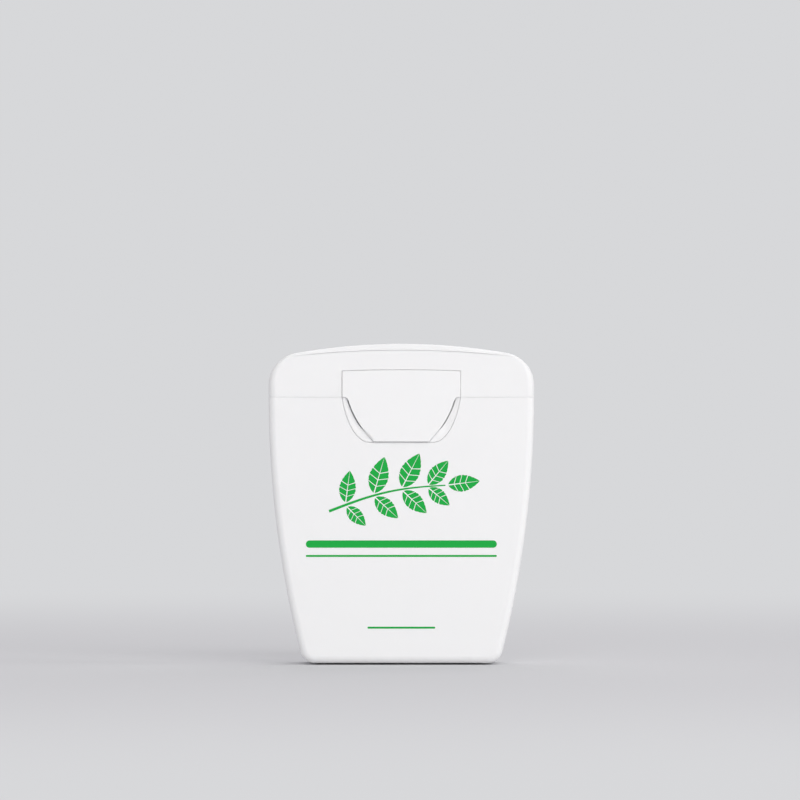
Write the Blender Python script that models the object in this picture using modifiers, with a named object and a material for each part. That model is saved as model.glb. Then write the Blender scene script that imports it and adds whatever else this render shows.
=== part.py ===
import math

import bmesh
import bpy
from mathutils import Matrix, Vector

# Driving dimensions, in metres. X is across, Y is from front to back, Z is up.

# Case outline, seen from the front. Heights are above the case's bottom face.
CASE_WIDTH = 0.047
CASE_DEPTH = 0.019
CASE_HEIGHT = 0.0566
LID_HEIGHT = 0.0095
SIDE_RADIUS = 0.184
BOTTOM_CORNER_RADIUS = 0.0028
TOP_CORNER_RADIUS = 0.0058
TOP_RADIUS = 0.109
CROWN_DROP = 0.00105
EDGE_RADIUS = 0.0013
CREASE_RADIUS = 0.0004
WALL = 0.0012
SEAM_GAP = 0.0002
PARTING_GAP = 0.00015
SLIP_GAP = 0.0002
OVERRUN = 0.004

# Lap joint between the two case halves.
LAP_THICKNESS = 0.0005
LAP_LENGTH = 0.001
LAP_INSET = 0.00065
LAP_CLEARANCE = 0.00012

# Thumb tab on the lid, and the pocket and scoops for it in the case front.
PANEL_HEIGHT = 0.0048
PANEL_ARCH = 0.0002
PANEL_PROUD = 0.00015
TAB_PROUD = 0.0006
TAB_THICKNESS = 0.0011
TAB_WIDTH = 0.019
TAB_END_WIDTH = 0.0098
TAB_LENGTH = 0.0078
TAB_SHOULDER = 0.0005
TAB_EDGE_ROUND = 0.00012
SCOOP_MARGIN = 0.00095
SCOOP_END_MARGIN = 0.0007
SCOOP_DEPTH = 0.0008
POCKET_CLEARANCE = 0.0003

# Catch beads on the tab's back and on the pocket's floor, measured down from the seam.
CATCH_LENGTH = 0.0065
CATCH_RADIUS = 0.0004
CATCH_PROUD = 0.00013
CATCH_DROP = 0.0048
CATCH_SPACING = 0.0007

# Handles of the two outline curves, as shares of their widths and lengths.
SCOOP_UPPER_SHARE = (0.886, 0.46)
SCOOP_LOWER_SHARE = (0.535, 1.0)
TAB_UPPER_SHARE = (0.88, 0.31)
TAB_LOWER_SHARE = (0.53, 0.69)
SCOOP_DISH_SHARE = (0.5, 0.68)

# Living hinges.
LID_HINGE_WIDTH = 0.026
LID_HINGE_HEIGHT = 0.0016
HINGE_THICKNESS = 0.0003
HINGE_CLEARANCE = 0.0001
STRAP_SETBACK = 0.0022
STRAP_WIDTH = 0.0014
STRAP_LENGTH = 0.0052
STRAP_FLAT = 0.0024
STRAP_THICKNESS = 0.00025
STRAP_BULGE = 0.0003

# Spool and the posts that carry it. Its height is above the case's bottom face.
SPOOL_HEIGHT = 0.0201
POST_RADIUS = 0.004
POST_BORE_RADIUS = 0.0026
SPIGOT_CLEARANCE = 0.0003
SPIGOT_LENGTH = 0.004
SPIGOT_CHAMFER = 0.0004
FLANGE_RADIUS = 0.0068
FLANGE_FILLET = 0.0005
CORE_RADIUS = 0.0065
CORE_LENGTH = 0.0118
CORE_CHAMFER = 0.0004
CORE_RUNNING_GAP = 0.0002
WINDING_WIDTH = 0.0112
WINDING_ROUND = 0.0007
WINDING_GAP = 0.00005
WINDING_CLEARANCE = 0.0015

# Press pins of the front half and their sockets in the back half: in from the case's side, and up from
# its bottom face or down from the seam.
LOW_PIN_SETBACK = 0.0037
LOW_PIN_HEIGHT = 0.0044
HIGH_PIN_SETBACK = 0.0042
HIGH_PIN_DROP = 0.0076
PIN_RADIUS = 0.0009
PIN_LENGTH = 0.0024
PIN_CLEARANCE = 0.00015
SOCKET_WALL = 0.00085

# Ribs on the side walls, under the deck.
RIB_THICKNESS = 0.001
RIB_REACH = 0.0022
RIB_HEIGHT = 0.006
RIB_SETBACK = 0.0045

# Deck under the lid.
DECK_DROP = 0.0016
DECK_THICKNESS = 0.0012
DECK_EDGE_ROUND = 0.0003
SEAT_WIDTH = 0.017
SEAT_DEPTH = 0.0078
SEAT_HEIGHT = 0.0044
SEAT_EDGE_ROUND = 0.0005
OUTLET_SETBACK = 0.0029
OUTLET_RADIUS = 0.0008
OUTLET_RIM_RADIUS = 0.0016
OUTLET_RIM_HEIGHT = 0.0004

# Cutter clip over the seat.
CUTTER_ACROSS = 0.0018
CUTTER_WIDTH = 0.0082
CUTTER_LEG = 0.0026
CUTTER_THICKNESS = 0.0003
CUTTER_BEND_RADIUS = 0.00015
CUTTER_GAP = 0.00005
TOOTH_WIDTH = 0.0034
TOOTH_LENGTH = 0.0044
TOOTH_POINT = 0.0024
TOOTH_ROOT = 0.0021
TOOTH_ANGLE = math.radians(28)
WINDOW_MARGIN = 0.0003

# Locating lugs inside the lid's front wall.
LUG_CLEARANCE = 0.00085
LUG_SETBACK = 0.0038
LUG_THICKNESS = 0.0009
LUG_DROP = 0.0011
LUG_RISE = 0.0024

# Floss, and the strand's way from the winding to its end beyond the cutter.
FLOSS_RADIUS = 0.00024
LEAD_GAP = 0.00007
LEAD_WRAP = math.radians(6)
LEAD_STANDOFF = 0.0008
LEAD_REACH = 0.0028
LEAD_SWAY = 0.0014

# Points of the strand's fall beyond the seat, as shares of its reach, sway and drop.
LEAD_FALL_SHARES = ((0.54, 0.5, 0.33), (0.75, 0.8, 0.7), (1.0, 1.0, 1.0))

# Steps along the curves.
SIDE_STEPS = 10
BOTTOM_CORNER_STEPS = 5
TOP_CORNER_STEPS = 8
TOP_STEPS = 9
EDGE_STEPS = 4
CROWN_STEPS = 6
CURVE_STEPS = 12
ROUND_STEPS = 48
PIN_STEPS = 20
BEND_STEPS = 5
STRAP_STEPS = 6
LEAD_STEPS = 4


def side_at(height, inset):
    # Half the case's width at a height, in from its curved side by the inset.
    reach = SIDE_RADIUS - inset
    return HALF_WIDTH - SIDE_RADIUS + math.sqrt(reach ** 2 - (SEAM - height) ** 2)


# Sizes worked out from those above.
HALF_WIDTH = CASE_WIDTH / 2
HALF_DEPTH = CASE_DEPTH / 2
BOTTOM = STRAP_BULGE
CROWN = BOTTOM + CASE_HEIGHT
SEAM = CROWN - LID_HEIGHT
FRONT = -HALF_DEPTH
INNER_DEPTH = HALF_DEPTH - WALL
DECK_TOP = SEAM - DECK_DROP
DECK_UNDER = DECK_TOP - DECK_THICKNESS
SEAT_TOP = DECK_TOP + SEAT_HEIGHT
SPOOL_CENTRE = BOTTOM + SPOOL_HEIGHT
PANEL_WIDTH = TAB_WIDTH + 2 * SCOOP_MARGIN
SCOOP_END_WIDTH = TAB_END_WIDTH + 2 * SCOOP_END_MARGIN
SCOOP_LENGTH = TAB_LENGTH + SLIP_GAP
POCKET_DEPTH = TAB_THICKNESS + POCKET_CLEARANCE
POCKET_BACK = FRONT + POCKET_DEPTH + WALL
POCKET_EDGE = PANEL_WIDTH / 2 + WALL
SPIGOT_RADIUS = POST_BORE_RADIUS - SPIGOT_CLEARANCE
SOCKET_BORE_RADIUS = PIN_RADIUS + PIN_CLEARANCE
SOCKET_RADIUS = SOCKET_BORE_RADIUS + SOCKET_WALL
OUTLET_ACROSS = OUTLET_SETBACK - SEAT_WIDTH / 2
STRAP_ACROSS = side_at(BOTTOM + BOTTOM_CORNER_RADIUS, BOTTOM_CORNER_RADIUS) - STRAP_SETBACK
HALF_CORE = CORE_LENGTH / 2
FLOOR_ROOM = SPOOL_CENTRE - BOTTOM - WALL
DECK_ROOM = DECK_UNDER - SPOOL_CENTRE
SIDE_ROOM = side_at(SPOOL_CENTRE, WALL)
WINDING_RADIUS = min(FLOOR_ROOM, DECK_ROOM, SIDE_ROOM) - WINDING_CLEARANCE


def clear_scene():
    for item in list(bpy.data.objects):
        bpy.data.objects.remove(item)


def make_collection(name):
    group = bpy.data.collections.new(name)
    bpy.context.scene.collection.children.link(group)
    return group


def make_empty(name, place, parent, group):
    empty = bpy.data.objects.new(name, None)
    empty.location = place
    empty.parent = parent
    group.objects.link(empty)
    return empty


def make_material(name, colour, roughness, metallic):
    material = bpy.data.materials.new(name)
    material.use_nodes = True
    shader = material.node_tree.nodes["Principled BSDF"]
    shader.inputs["Base Color"].default_value = (*colour, 1)
    shader.inputs["Roughness"].default_value = roughness
    shader.inputs["Metallic"].default_value = metallic
    return material


def make_piece(name, mesh, material):
    piece = bpy.data.objects.new(name, mesh)
    piece.parent = frame
    parts.objects.link(piece)
    mesh.materials.append(material)
    return piece


def make_cutter(name, mesh):
    tool = bpy.data.objects.new(name, mesh)
    tool.parent = frame
    tool.hide_render = True
    tool.display_type = "WIRE"
    cutters.objects.link(tool)
    return tool


def mesh_of(shape, name):
    bmesh.ops.recalc_face_normals(shape, faces=shape.faces)
    mesh = bpy.data.meshes.new(name)
    shape.to_mesh(mesh)
    shape.free()
    return mesh


def hang_on_axis(piece, axis):
    # The piece keeps its place and gets the joint's empty as its parent.
    piece.parent = axis
    piece.location -= axis.location


def combine(piece, tool, operation):
    step = piece.modifiers.new(tool.name, "BOOLEAN")
    step.operation = operation
    step.object = tool
    step.solver = "EXACT"


def round_edges(piece, width, segments):
    step = piece.modifiers.new("Rounded edges", "BEVEL")
    step.width = width
    step.segments = segments
    step.limit_method = "ANGLE"
    step.angle_limit = math.radians(40)


def box_mesh(name, low, high):
    low = Vector(low)
    high = Vector(high)
    shape = bmesh.new()
    place = Matrix.Translation((low + high) / 2) @ Matrix.Diagonal(high - low).to_4x4()
    bmesh.ops.create_cube(shape, size=1, matrix=place)
    return mesh_of(shape, name)


def rod_mesh(name, place, radius, front, back, steps):
    # A cylinder along Y between two depths.
    shape = bmesh.new()
    centre = Vector((place[0], (front + back) / 2, place[1]))
    turn = Matrix.Translation(centre) @ Matrix.Rotation(math.radians(90), 4, "X")
    bmesh.ops.create_cone(shape, cap_ends=True, segments=steps, radius1=radius, radius2=radius,
                          depth=back - front, matrix=turn)
    return mesh_of(shape, name)


def loft_mesh(name, sections):
    # Closed loops with the same number of points, joined in order and capped at both ends.
    shape = bmesh.new()
    loops = [[shape.verts.new(point) for point in section] for section in sections]
    for near, far in zip(loops, loops[1:]):
        for index, vert in enumerate(near):
            after = (index + 1) % len(near)
            shape.faces.new((vert, near[after], far[after], far[index]))
    shape.faces.new(loops[0])
    shape.faces.new(loops[-1])
    return mesh_of(shape, name)


def slab_mesh(name, outline, front, back):
    # A flat outline in X and Z, given depth along Y.
    return loft_mesh(name, [[(x, depth, z) for x, z in outline] for depth in (front, back)])


def turned_piece(name, profile, steps):
    # A profile of radius and depth pairs, turned about the Y axis through the spool's centre.
    mesh = bpy.data.meshes.new(name)
    points = [(radius, 0, -depth) for radius, depth in profile]
    edges = [(index, index + 1) for index in range(len(points) - 1)]
    mesh.from_pydata(points, edges, [])
    turned = bpy.data.objects.new(name, mesh)
    turned.rotation_euler = (math.radians(90), 0, 0)
    turned.location = (0, 0, SPOOL_CENTRE)
    step = turned.modifiers.new("Turned", "SCREW")
    step.steps = steps
    step.render_steps = steps
    step.use_merge_vertices = True
    step.merge_threshold = 0.00001
    return turned


# Case form: one outline with rounded edges and a crowned top, from which both halves and the lid are cut.


def arc(centre, radius, start, end, steps):
    points = []
    for index in range(steps + 1):
        angle = start + (end - start) * index / steps
        outward = Vector((math.cos(angle), math.sin(angle)))
        points.append((Vector(centre) + outward * radius, outward))
    return points


def half_outline(inset):
    # The right half, from the bottom up: place, outward direction, edge radius, share of the crown.
    side_x = HALF_WIDTH - SIDE_RADIUS
    low_z = BOTTOM + BOTTOM_CORNER_RADIUS
    low_x = side_at(low_z, BOTTOM_CORNER_RADIUS)
    lean = math.atan2(low_z - SEAM, low_x - side_x)
    high_x = HALF_WIDTH - TOP_CORNER_RADIUS
    top_z = CROWN - TOP_RADIUS
    high_z = top_z + math.sqrt((TOP_RADIUS - TOP_CORNER_RADIUS) ** 2 - high_x ** 2)
    brow = math.atan2(high_z - top_z, high_x)
    down = math.radians(-90)
    up = math.radians(90)
    low_corner = arc((low_x, low_z), BOTTOM_CORNER_RADIUS - inset, down, lean, BOTTOM_CORNER_STEPS)
    side = arc((side_x, SEAM), SIDE_RADIUS - inset, lean, 0, SIDE_STEPS)
    high_corner = arc((high_x, high_z), TOP_CORNER_RADIUS - inset, 0, brow, TOP_CORNER_STEPS)
    top = arc((0, top_z), TOP_RADIUS - inset, brow, up, TOP_STEPS)
    rows = [(place, outward, EDGE_RADIUS, 0) for place, outward in low_corner + side[1:]]
    for index, (place, outward) in enumerate(high_corner):
        share = index / TOP_CORNER_STEPS
        blend = share * share * (3 - 2 * share)
        rows.append((place, outward, EDGE_RADIUS + (CREASE_RADIUS - EDGE_RADIUS) * blend, 1))
    rows += [(place, outward, CREASE_RADIUS, 1) for place, outward in top[1:]]
    return rows


def case_section(inset, depth, rounded):
    # The outline at one depth: the top falls toward both faces and the edges draw in.
    half = HALF_DEPTH - inset
    points = []
    for place, outward, radius, crowned in half_outline(inset):
        drop = crowned * CROWN_DROP * (1 - (place.x / HALF_WIDTH) ** 2) * (depth / half) ** 2
        over = max(0, abs(depth) - half + radius) if rounded else 0
        drawn = radius - math.sqrt(max(0, radius ** 2 - over ** 2))
        inward = Vector((-outward.x, 0, -outward.y))
        points.append(Vector((place.x, depth, place.y - drop)) + inward * drawn)
    mirrored = [Vector((-point.x, point.y, point.z)) for point in reversed(points[:-1])]
    return points + mirrored


def case_form(name, inset, rounded, crown_steps):
    half = HALF_DEPTH - inset
    flat = half - EDGE_RADIUS if rounded else half
    depths = [flat * (2 * index / crown_steps - 1) for index in range(crown_steps + 1)]
    if rounded:
        quarter = math.radians(90)
        reach = [EDGE_RADIUS * math.sin(quarter * index / EDGE_STEPS) for index in range(1, EDGE_STEPS + 1)]
        depths = [-flat - step for step in reversed(reach)] + depths + [flat + step for step in reach]
    return loft_mesh(name, [case_section(inset, depth, rounded) for depth in depths])


# Tab, pocket and scoops. Both outlines hang from the seam and are drawn on the right, then mirrored.


def bezier(start, upper, lower, end, steps):
    points = []
    for index in range(steps + 1):
        t = index / steps
        u = 1 - t
        points.append(u ** 3 * start + 3 * u * u * t * upper + 3 * u * t * t * lower + t ** 3 * end)
    return points


def hanging_curve(width, end_width, length, upper_share, lower_share, margin):
    half = width / 2 + margin
    end = end_width / 2 + margin / 2
    long = length + margin
    start = Vector((half, SEAM))
    upper = Vector((half - (half - end) * (1 - upper_share[0]), SEAM - long * upper_share[1]))
    lower = Vector((end + (half - end) * lower_share[0], SEAM - long * lower_share[1]))
    return bezier(start, upper, lower, Vector((end, SEAM - long)), CURVE_STEPS)


def scoop_curve(margin):
    return hanging_curve(PANEL_WIDTH, SCOOP_END_WIDTH, SCOOP_LENGTH,
                         SCOOP_UPPER_SHARE, SCOOP_LOWER_SHARE, margin)


def tab_curve(margin):
    return hanging_curve(TAB_WIDTH, TAB_END_WIDTH, TAB_LENGTH, TAB_UPPER_SHARE, TAB_LOWER_SHARE, margin)


def mirrored_loop(right_side):
    left_side = [Vector((-point.x, point.y)) for point in reversed(right_side)]
    return right_side + left_side


def pocket_loop(curve):
    return mirrored_loop([Vector((curve[0].x, SEAM + OVERRUN))] + curve)


def pocket_cutter():
    # Lofted from the scoop's outline at the face down to the tab's own outline at the pocket's floor.
    wide = pocket_loop(scoop_curve(0))
    narrow = pocket_loop(tab_curve(SLIP_GAP))
    lateral, deep = SCOOP_DISH_SHARE
    dish = [a.lerp(b, lateral) for a, b in zip(wide, narrow)]
    levels = [
        (wide, FRONT - OVERRUN),
        (wide, FRONT),
        (dish, FRONT + SCOOP_DEPTH * deep),
        (narrow, FRONT + SCOOP_DEPTH),
        (narrow, FRONT + POCKET_DEPTH),
    ]
    sections = [[(point.x, depth, point.y) for point in loop] for loop, depth in levels]
    return make_cutter("pocket_cut", loft_mesh("pocket_cut", sections))


def tab_outline():
    panel_half = PANEL_WIDTH / 2
    panel_top = SEAM + PANEL_HEIGHT
    curve = tab_curve(0)
    shoulder = Vector((curve[0].x + TAB_SHOULDER, SEAM))
    foot = next(point for point in curve if point.y < SEAM - TAB_SHOULDER)
    below = curve[curve.index(foot):]
    arch = []
    for index in range(CURVE_STEPS // 2):
        across = panel_half * index / (CURVE_STEPS // 2)
        arch.append(Vector((across, panel_top - PANEL_ARCH * (across / panel_half) ** 2)))
    side = [
        Vector((panel_half, panel_top - PANEL_ARCH)),
        Vector((panel_half, SEAM + SEAM_GAP / 2)),
        Vector((shoulder.x, SEAM + SEAM_GAP / 2)),
    ]
    right = arch + side + below
    left = [Vector((-point.x, point.y)) for point in reversed(right[1:])]
    return right + left


def tab_tool():
    # The front of the tab leans out toward its lower end, so that a thumb catches it.
    top = SEAM + PANEL_HEIGHT
    fall = PANEL_HEIGHT + TAB_LENGTH
    front = []
    back = []
    for point in tab_outline():
        proud = PANEL_PROUD + (TAB_PROUD - PANEL_PROUD) * (top - point.y) / fall
        front.append((point.x, FRONT - proud, point.y))
        back.append((point.x, FRONT + TAB_THICKNESS, point.y))
    tool = make_cutter("tab_form", loft_mesh("tab_form", [front, back]))
    round_edges(tool, TAB_EDGE_ROUND, 2)
    return tool


def catch_tool(name, length, depth, height, outward):
    # A rounded bead across the tab's back or the pocket's floor, standing out by CATCH_PROUD.
    shape = bmesh.new()
    middle = Vector((0, depth + outward * (CATCH_PROUD - CATCH_RADIUS), SEAM - height))
    turn = Matrix.Translation(middle) @ Matrix.Rotation(math.radians(90), 4, "Y")
    bmesh.ops.create_cone(shape, cap_ends=True, segments=PIN_STEPS, radius1=CATCH_RADIUS,
                          radius2=CATCH_RADIUS, depth=length, matrix=turn)
    return make_cutter(name, mesh_of(shape, name))


def lug_tools(side):
    # A lug that hangs inside the case front, and the block that joins it to the lid's wall.
    near = POCKET_EDGE + LUG_CLEARANCE
    far = HALF_WIDTH - WALL - LUG_SETBACK
    left, right = sorted((side * near, side * far))
    lug_front = -INNER_DEPTH + SLIP_GAP
    lug_back = lug_front + LUG_THICKNESS
    lug = box_mesh("lug", (left, lug_front, SEAM - LUG_DROP), (right, lug_back, SEAM + LUG_RISE))
    root = box_mesh("lug_root", (left + LUG_THICKNESS, FRONT + WALL / 2, SEAM + LUG_DROP),
                    (right - LUG_THICKNESS, lug_back - SLIP_GAP, SEAM + LUG_RISE - SLIP_GAP))
    return [make_cutter("lug", lug), make_cutter("lug_root", root)]


def hinge_rebate(name):
    half = LID_HINGE_WIDTH / 2 + HINGE_CLEARANCE
    tall = LID_HINGE_HEIGHT / 2 + HINGE_CLEARANCE
    low = (-half, HALF_DEPTH - HINGE_THICKNESS - HINGE_CLEARANCE, SEAM - tall)
    high = (half, HALF_DEPTH + OVERRUN, SEAM + tall)
    return make_cutter(name, box_mesh(name, low, high))


def build_lid(axis):
    plastic = make_material("Lid plastic", (0.93, 0.93, 0.935), 0.32, 0)
    lid = make_piece("lid", case_form("lid", 0, True, CROWN_STEPS), plastic)
    combine(lid, make_cutter("lid_cavity", case_form("lid_cavity", WALL, False, CROWN_STEPS)), "DIFFERENCE")
    room = room_tool("lid_room", FRONT - OVERRUN, HALF_DEPTH + OVERRUN, SEAM + SEAM_GAP / 2, CROWN + OVERRUN)
    combine(lid, room, "INTERSECT")
    combine(lid, tab_tool(), "UNION")
    bead = catch_tool("lid_catch", CATCH_LENGTH, FRONT + TAB_THICKNESS, CATCH_DROP + CATCH_SPACING, 1)
    combine(lid, bead, "UNION")
    for side in (-1, 1):
        for tool in lug_tools(side):
            combine(lid, tool, "UNION")
    combine(lid, hinge_rebate("lid_rebate"), "DIFFERENCE")
    hang_on_axis(lid, axis)
    for step in lid.modifiers:
        hang_on_axis(step.object, axis)


# Case halves.


def room_tool(name, front, back, low, high):
    wide = HALF_WIDTH + OVERRUN
    return make_cutter(name, box_mesh(name, (-wide, front, low), (wide, back, high)))


def strap_notch(side):
    half = STRAP_WIDTH / 2 + HINGE_CLEARANCE
    long = STRAP_LENGTH / 2 + HINGE_CLEARANCE
    across = side * STRAP_ACROSS
    low = (across - half, -long, BOTTOM - OVERRUN)
    high = (across + half, long, BOTTOM + STRAP_THICKNESS + 2 * HINGE_CLEARANCE)
    return make_cutter("strap_notch", box_mesh("strap_notch", low, high))


def rib_tool(side, facing):
    # A gusset on the side wall: facing is -1 on the front half and 1 on the back half.
    root = HALF_WIDTH - WALL / 2
    tip = HALF_WIDTH - WALL - RIB_REACH
    top = DECK_UNDER - SLIP_GAP
    corners = [(root, top), (tip, top), (tip, top - RIB_REACH), (root, top - RIB_HEIGHT)]
    outline = [(side * across, height) for across, height in corners]
    near = facing * RIB_SETBACK - RIB_THICKNESS / 2
    return make_cutter("rib", slab_mesh("rib", outline, near, near + RIB_THICKNESS))


def pin_places():
    places = []
    low = BOTTOM + LOW_PIN_HEIGHT
    high = SEAM - HIGH_PIN_DROP
    for height, setback in ((low, LOW_PIN_SETBACK), (high, HIGH_PIN_SETBACK)):
        across = side_at(height, 0) - setback
        places += [(-across, height), (across, height)]
    return places


def pin_tools():
    tools = []
    embedded = FRONT + WALL / 2
    for place in pin_places():
        foot = rod_mesh("pin_foot", place, SOCKET_RADIUS, embedded, -LAP_LENGTH - PARTING_GAP, PIN_STEPS)
        pin = rod_mesh("pin", place, PIN_RADIUS, -LAP_LENGTH - WALL, PIN_LENGTH, PIN_STEPS)
        tools += [make_cutter("pin_foot", foot), make_cutter("pin", pin)]
    return tools


def spigot_tool():
    flange_back = -HALF_CORE - CORE_RUNNING_GAP
    tip = -HALF_CORE + SPIGOT_LENGTH
    profile = [
        (0, tip),
        (SPIGOT_RADIUS - SPIGOT_CHAMFER, tip),
        (SPIGOT_RADIUS, tip - SPIGOT_CHAMFER),
        (SPIGOT_RADIUS, flange_back),
        (FLANGE_RADIUS - FLANGE_FILLET, flange_back),
        (FLANGE_RADIUS, flange_back - FLANGE_FILLET),
        (FLANGE_RADIUS, FRONT + WALL / 2),
        (0, FRONT + WALL / 2),
    ]
    return make_turned_cutter("spigot", profile)


def make_turned_cutter(name, profile):
    tool = turned_piece(name, profile, ROUND_STEPS)
    tool.parent = frame
    tool.hide_render = True
    tool.display_type = "WIRE"
    cutters.objects.link(tool)
    return tool


def lap_rebate():
    # Everything inside the outer skin of the front half's rim, as deep as the back half's tongue is long.
    solid = make_cutter("lap_rebate", case_form("lap_rebate", LAP_INSET - LAP_CLEARANCE, False, 1))
    room = room_tool("lap_rebate_room", -LAP_LENGTH - PARTING_GAP, HALF_DEPTH + OVERRUN,
                     BOTTOM - OVERRUN, SEAM + OVERRUN)
    combine(solid, room, "INTERSECT")
    return solid


def build_front_shell(cavity, notches):
    plastic = make_material("Front shell plastic", (0.93, 0.93, 0.935), 0.32, 0)
    shell = make_piece("front_shell", case_form("front_shell", 0, True, 1), plastic)
    combine(shell, cavity, "DIFFERENCE")
    room = room_tool("front_room", FRONT - OVERRUN, -PARTING_GAP / 2, BOTTOM - OVERRUN, SEAM - SEAM_GAP / 2)
    combine(shell, room, "INTERSECT")
    combine(shell, lap_rebate(), "DIFFERENCE")
    backing = scoop_curve(WALL)
    top = Vector((backing[0].x, SEAM - SEAM_GAP / 2))
    loop = mirrored_loop([top] + [point for point in backing if point.y < top.y])
    boss = slab_mesh("pocket_backing", [(point.x, point.y) for point in loop], FRONT + WALL / 2, POCKET_BACK)
    combine(shell, make_cutter("pocket_backing", boss), "UNION")
    combine(shell, pocket_cutter(), "DIFFERENCE")
    bead = catch_tool("shell_catch", CATCH_LENGTH, FRONT + POCKET_DEPTH, CATCH_DROP, -1)
    combine(shell, bead, "UNION")
    combine(shell, spigot_tool(), "UNION")
    for tool in pin_tools():
        combine(shell, tool, "UNION")
    for side in (-1, 1):
        combine(shell, rib_tool(side, -1), "UNION")
    for notch in notches:
        combine(shell, notch, "DIFFERENCE")


def lap_tongue():
    outer = make_cutter("lap_tongue", case_form("lap_tongue", LAP_INSET, False, 1))
    inner = make_cutter("lap_core", case_form("lap_core", LAP_INSET + LAP_THICKNESS, False, 1))
    room = room_tool("lap_room", -LAP_LENGTH, WALL, BOTTOM - OVERRUN, SEAM - SEAM_GAP)
    combine(outer, inner, "DIFFERENCE")
    combine(outer, room, "INTERSECT")
    return outer


def post_tool():
    flange_front = HALF_CORE + CORE_RUNNING_GAP
    floor = HALF_DEPTH - WALL
    profile = [
        (0, floor),
        (POST_BORE_RADIUS, floor),
        (POST_BORE_RADIUS, -HALF_CORE),
        (POST_RADIUS, -HALF_CORE),
        (POST_RADIUS, flange_front),
        (FLANGE_RADIUS - FLANGE_FILLET, flange_front),
        (FLANGE_RADIUS, flange_front + FLANGE_FILLET),
        (FLANGE_RADIUS, HALF_DEPTH - WALL / 2),
        (0, HALF_DEPTH - WALL / 2),
    ]
    return make_turned_cutter("post", list(reversed(profile)))


def socket_tools():
    outers = []
    bores = []
    for place in pin_places():
        outer = rod_mesh("socket", place, SOCKET_RADIUS, PARTING_GAP, HALF_DEPTH - WALL / 2, PIN_STEPS)
        bore = rod_mesh("socket_bore", place, SOCKET_BORE_RADIUS, -PARTING_GAP, PIN_LENGTH + WALL, PIN_STEPS)
        outers.append(make_cutter("socket", outer))
        bores.append(make_cutter("socket_bore", bore))
    return outers, bores


def build_back_shell(cavity, notches):
    plastic = make_material("Back shell plastic", (0.93, 0.93, 0.935), 0.32, 0)
    shell = make_piece("back_shell", case_form("back_shell", 0, True, 1), plastic)
    combine(shell, cavity, "DIFFERENCE")
    room = room_tool("back_room", PARTING_GAP / 2, HALF_DEPTH + OVERRUN,
                     BOTTOM - OVERRUN, SEAM - SEAM_GAP / 2)
    combine(shell, room, "INTERSECT")
    combine(shell, lap_tongue(), "UNION")
    combine(shell, post_tool(), "UNION")
    outers, bores = socket_tools()
    for tool in outers:
        combine(shell, tool, "UNION")
    for tool in bores:
        combine(shell, tool, "DIFFERENCE")
    for side in (-1, 1):
        combine(shell, rib_tool(side, 1), "UNION")
    for notch in notches:
        combine(shell, notch, "DIFFERENCE")
    combine(shell, hinge_rebate("back_rebate"), "DIFFERENCE")


# Living hinges.


def build_lid_hinge():
    plastic = make_material("Hinge plastic", (0.93, 0.93, 0.935), 0.35, 0)
    half = LID_HINGE_WIDTH / 2
    tall = LID_HINGE_HEIGHT / 2
    low = (-half, HALF_DEPTH - HINGE_THICKNESS, SEAM - tall)
    make_piece("lid_hinge", box_mesh("lid_hinge", low, (half, HALF_DEPTH, SEAM + tall)), plastic)


def build_bottom_hinge(side, name, plastic):
    # A folded strap: its ends lie in the notches and its middle bulges below the case.
    rest = BOTTOM + HINGE_CLEARANCE
    ramp = (STRAP_LENGTH - STRAP_FLAT) / 2
    toe = ramp / 4
    lower = [(STRAP_LENGTH / 2, rest)]
    for index in range(STRAP_STEPS + 1):
        share = index / STRAP_STEPS
        fall = rest * (1 - math.cos(math.pi * share)) / 2
        lower.append((STRAP_LENGTH / 2 - toe - (ramp - toe) * share, rest - fall))
    lower += [(-along, height) for along, height in reversed(lower)]
    outline = lower + [(along, height + STRAP_THICKNESS) for along, height in reversed(lower)]
    middle = side * STRAP_ACROSS
    edges = (middle - STRAP_WIDTH / 2, middle + STRAP_WIDTH / 2)
    sections = [[(across, along, height) for along, height in outline] for across in edges]
    make_piece(name, loft_mesh(name, sections), plastic)


# Spool.


def build_spool_core(axis):
    board = make_material("Spool core plastic", (0.85, 0.86, 0.87), 0.45, 0)
    bore = POST_RADIUS + CORE_RUNNING_GAP
    profile = [
        (CORE_RADIUS, -HALF_CORE + CORE_CHAMFER),
        (CORE_RADIUS, HALF_CORE - CORE_CHAMFER),
        (CORE_RADIUS - CORE_CHAMFER, HALF_CORE),
        (bore, HALF_CORE),
        (bore, -HALF_CORE),
        (CORE_RADIUS - CORE_CHAMFER, -HALF_CORE),
        (CORE_RADIUS, -HALF_CORE + CORE_CHAMFER),
    ]
    make_turned_part("spool_core", profile, board, axis)


def build_floss_winding(axis):
    floss = make_material("Waxed floss", (0.86, 0.93, 0.89), 0.55, 0)
    half = WINDING_WIDTH / 2
    inner = CORE_RADIUS + WINDING_GAP
    quarter = math.radians(90)
    shoulder = []
    for index in range(BEND_STEPS + 1):
        angle = quarter * index / BEND_STEPS
        radius = WINDING_RADIUS - WINDING_ROUND + WINDING_ROUND * math.cos(angle)
        shoulder.append((radius, half - WINDING_ROUND + WINDING_ROUND * math.sin(angle)))
    near = [(radius, -depth) for radius, depth in reversed(shoulder)]
    profile = near + shoulder + [(inner, half), (inner, -half), near[0]]
    make_turned_part("floss_winding", profile, floss, axis)


def make_turned_part(name, profile, material, axis):
    piece = turned_piece(name, profile, ROUND_STEPS)
    piece.parent = axis
    piece.location = (0, 0, 0)
    piece.data.materials.append(material)
    parts.objects.link(piece)


# Deck and cutter.


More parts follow.
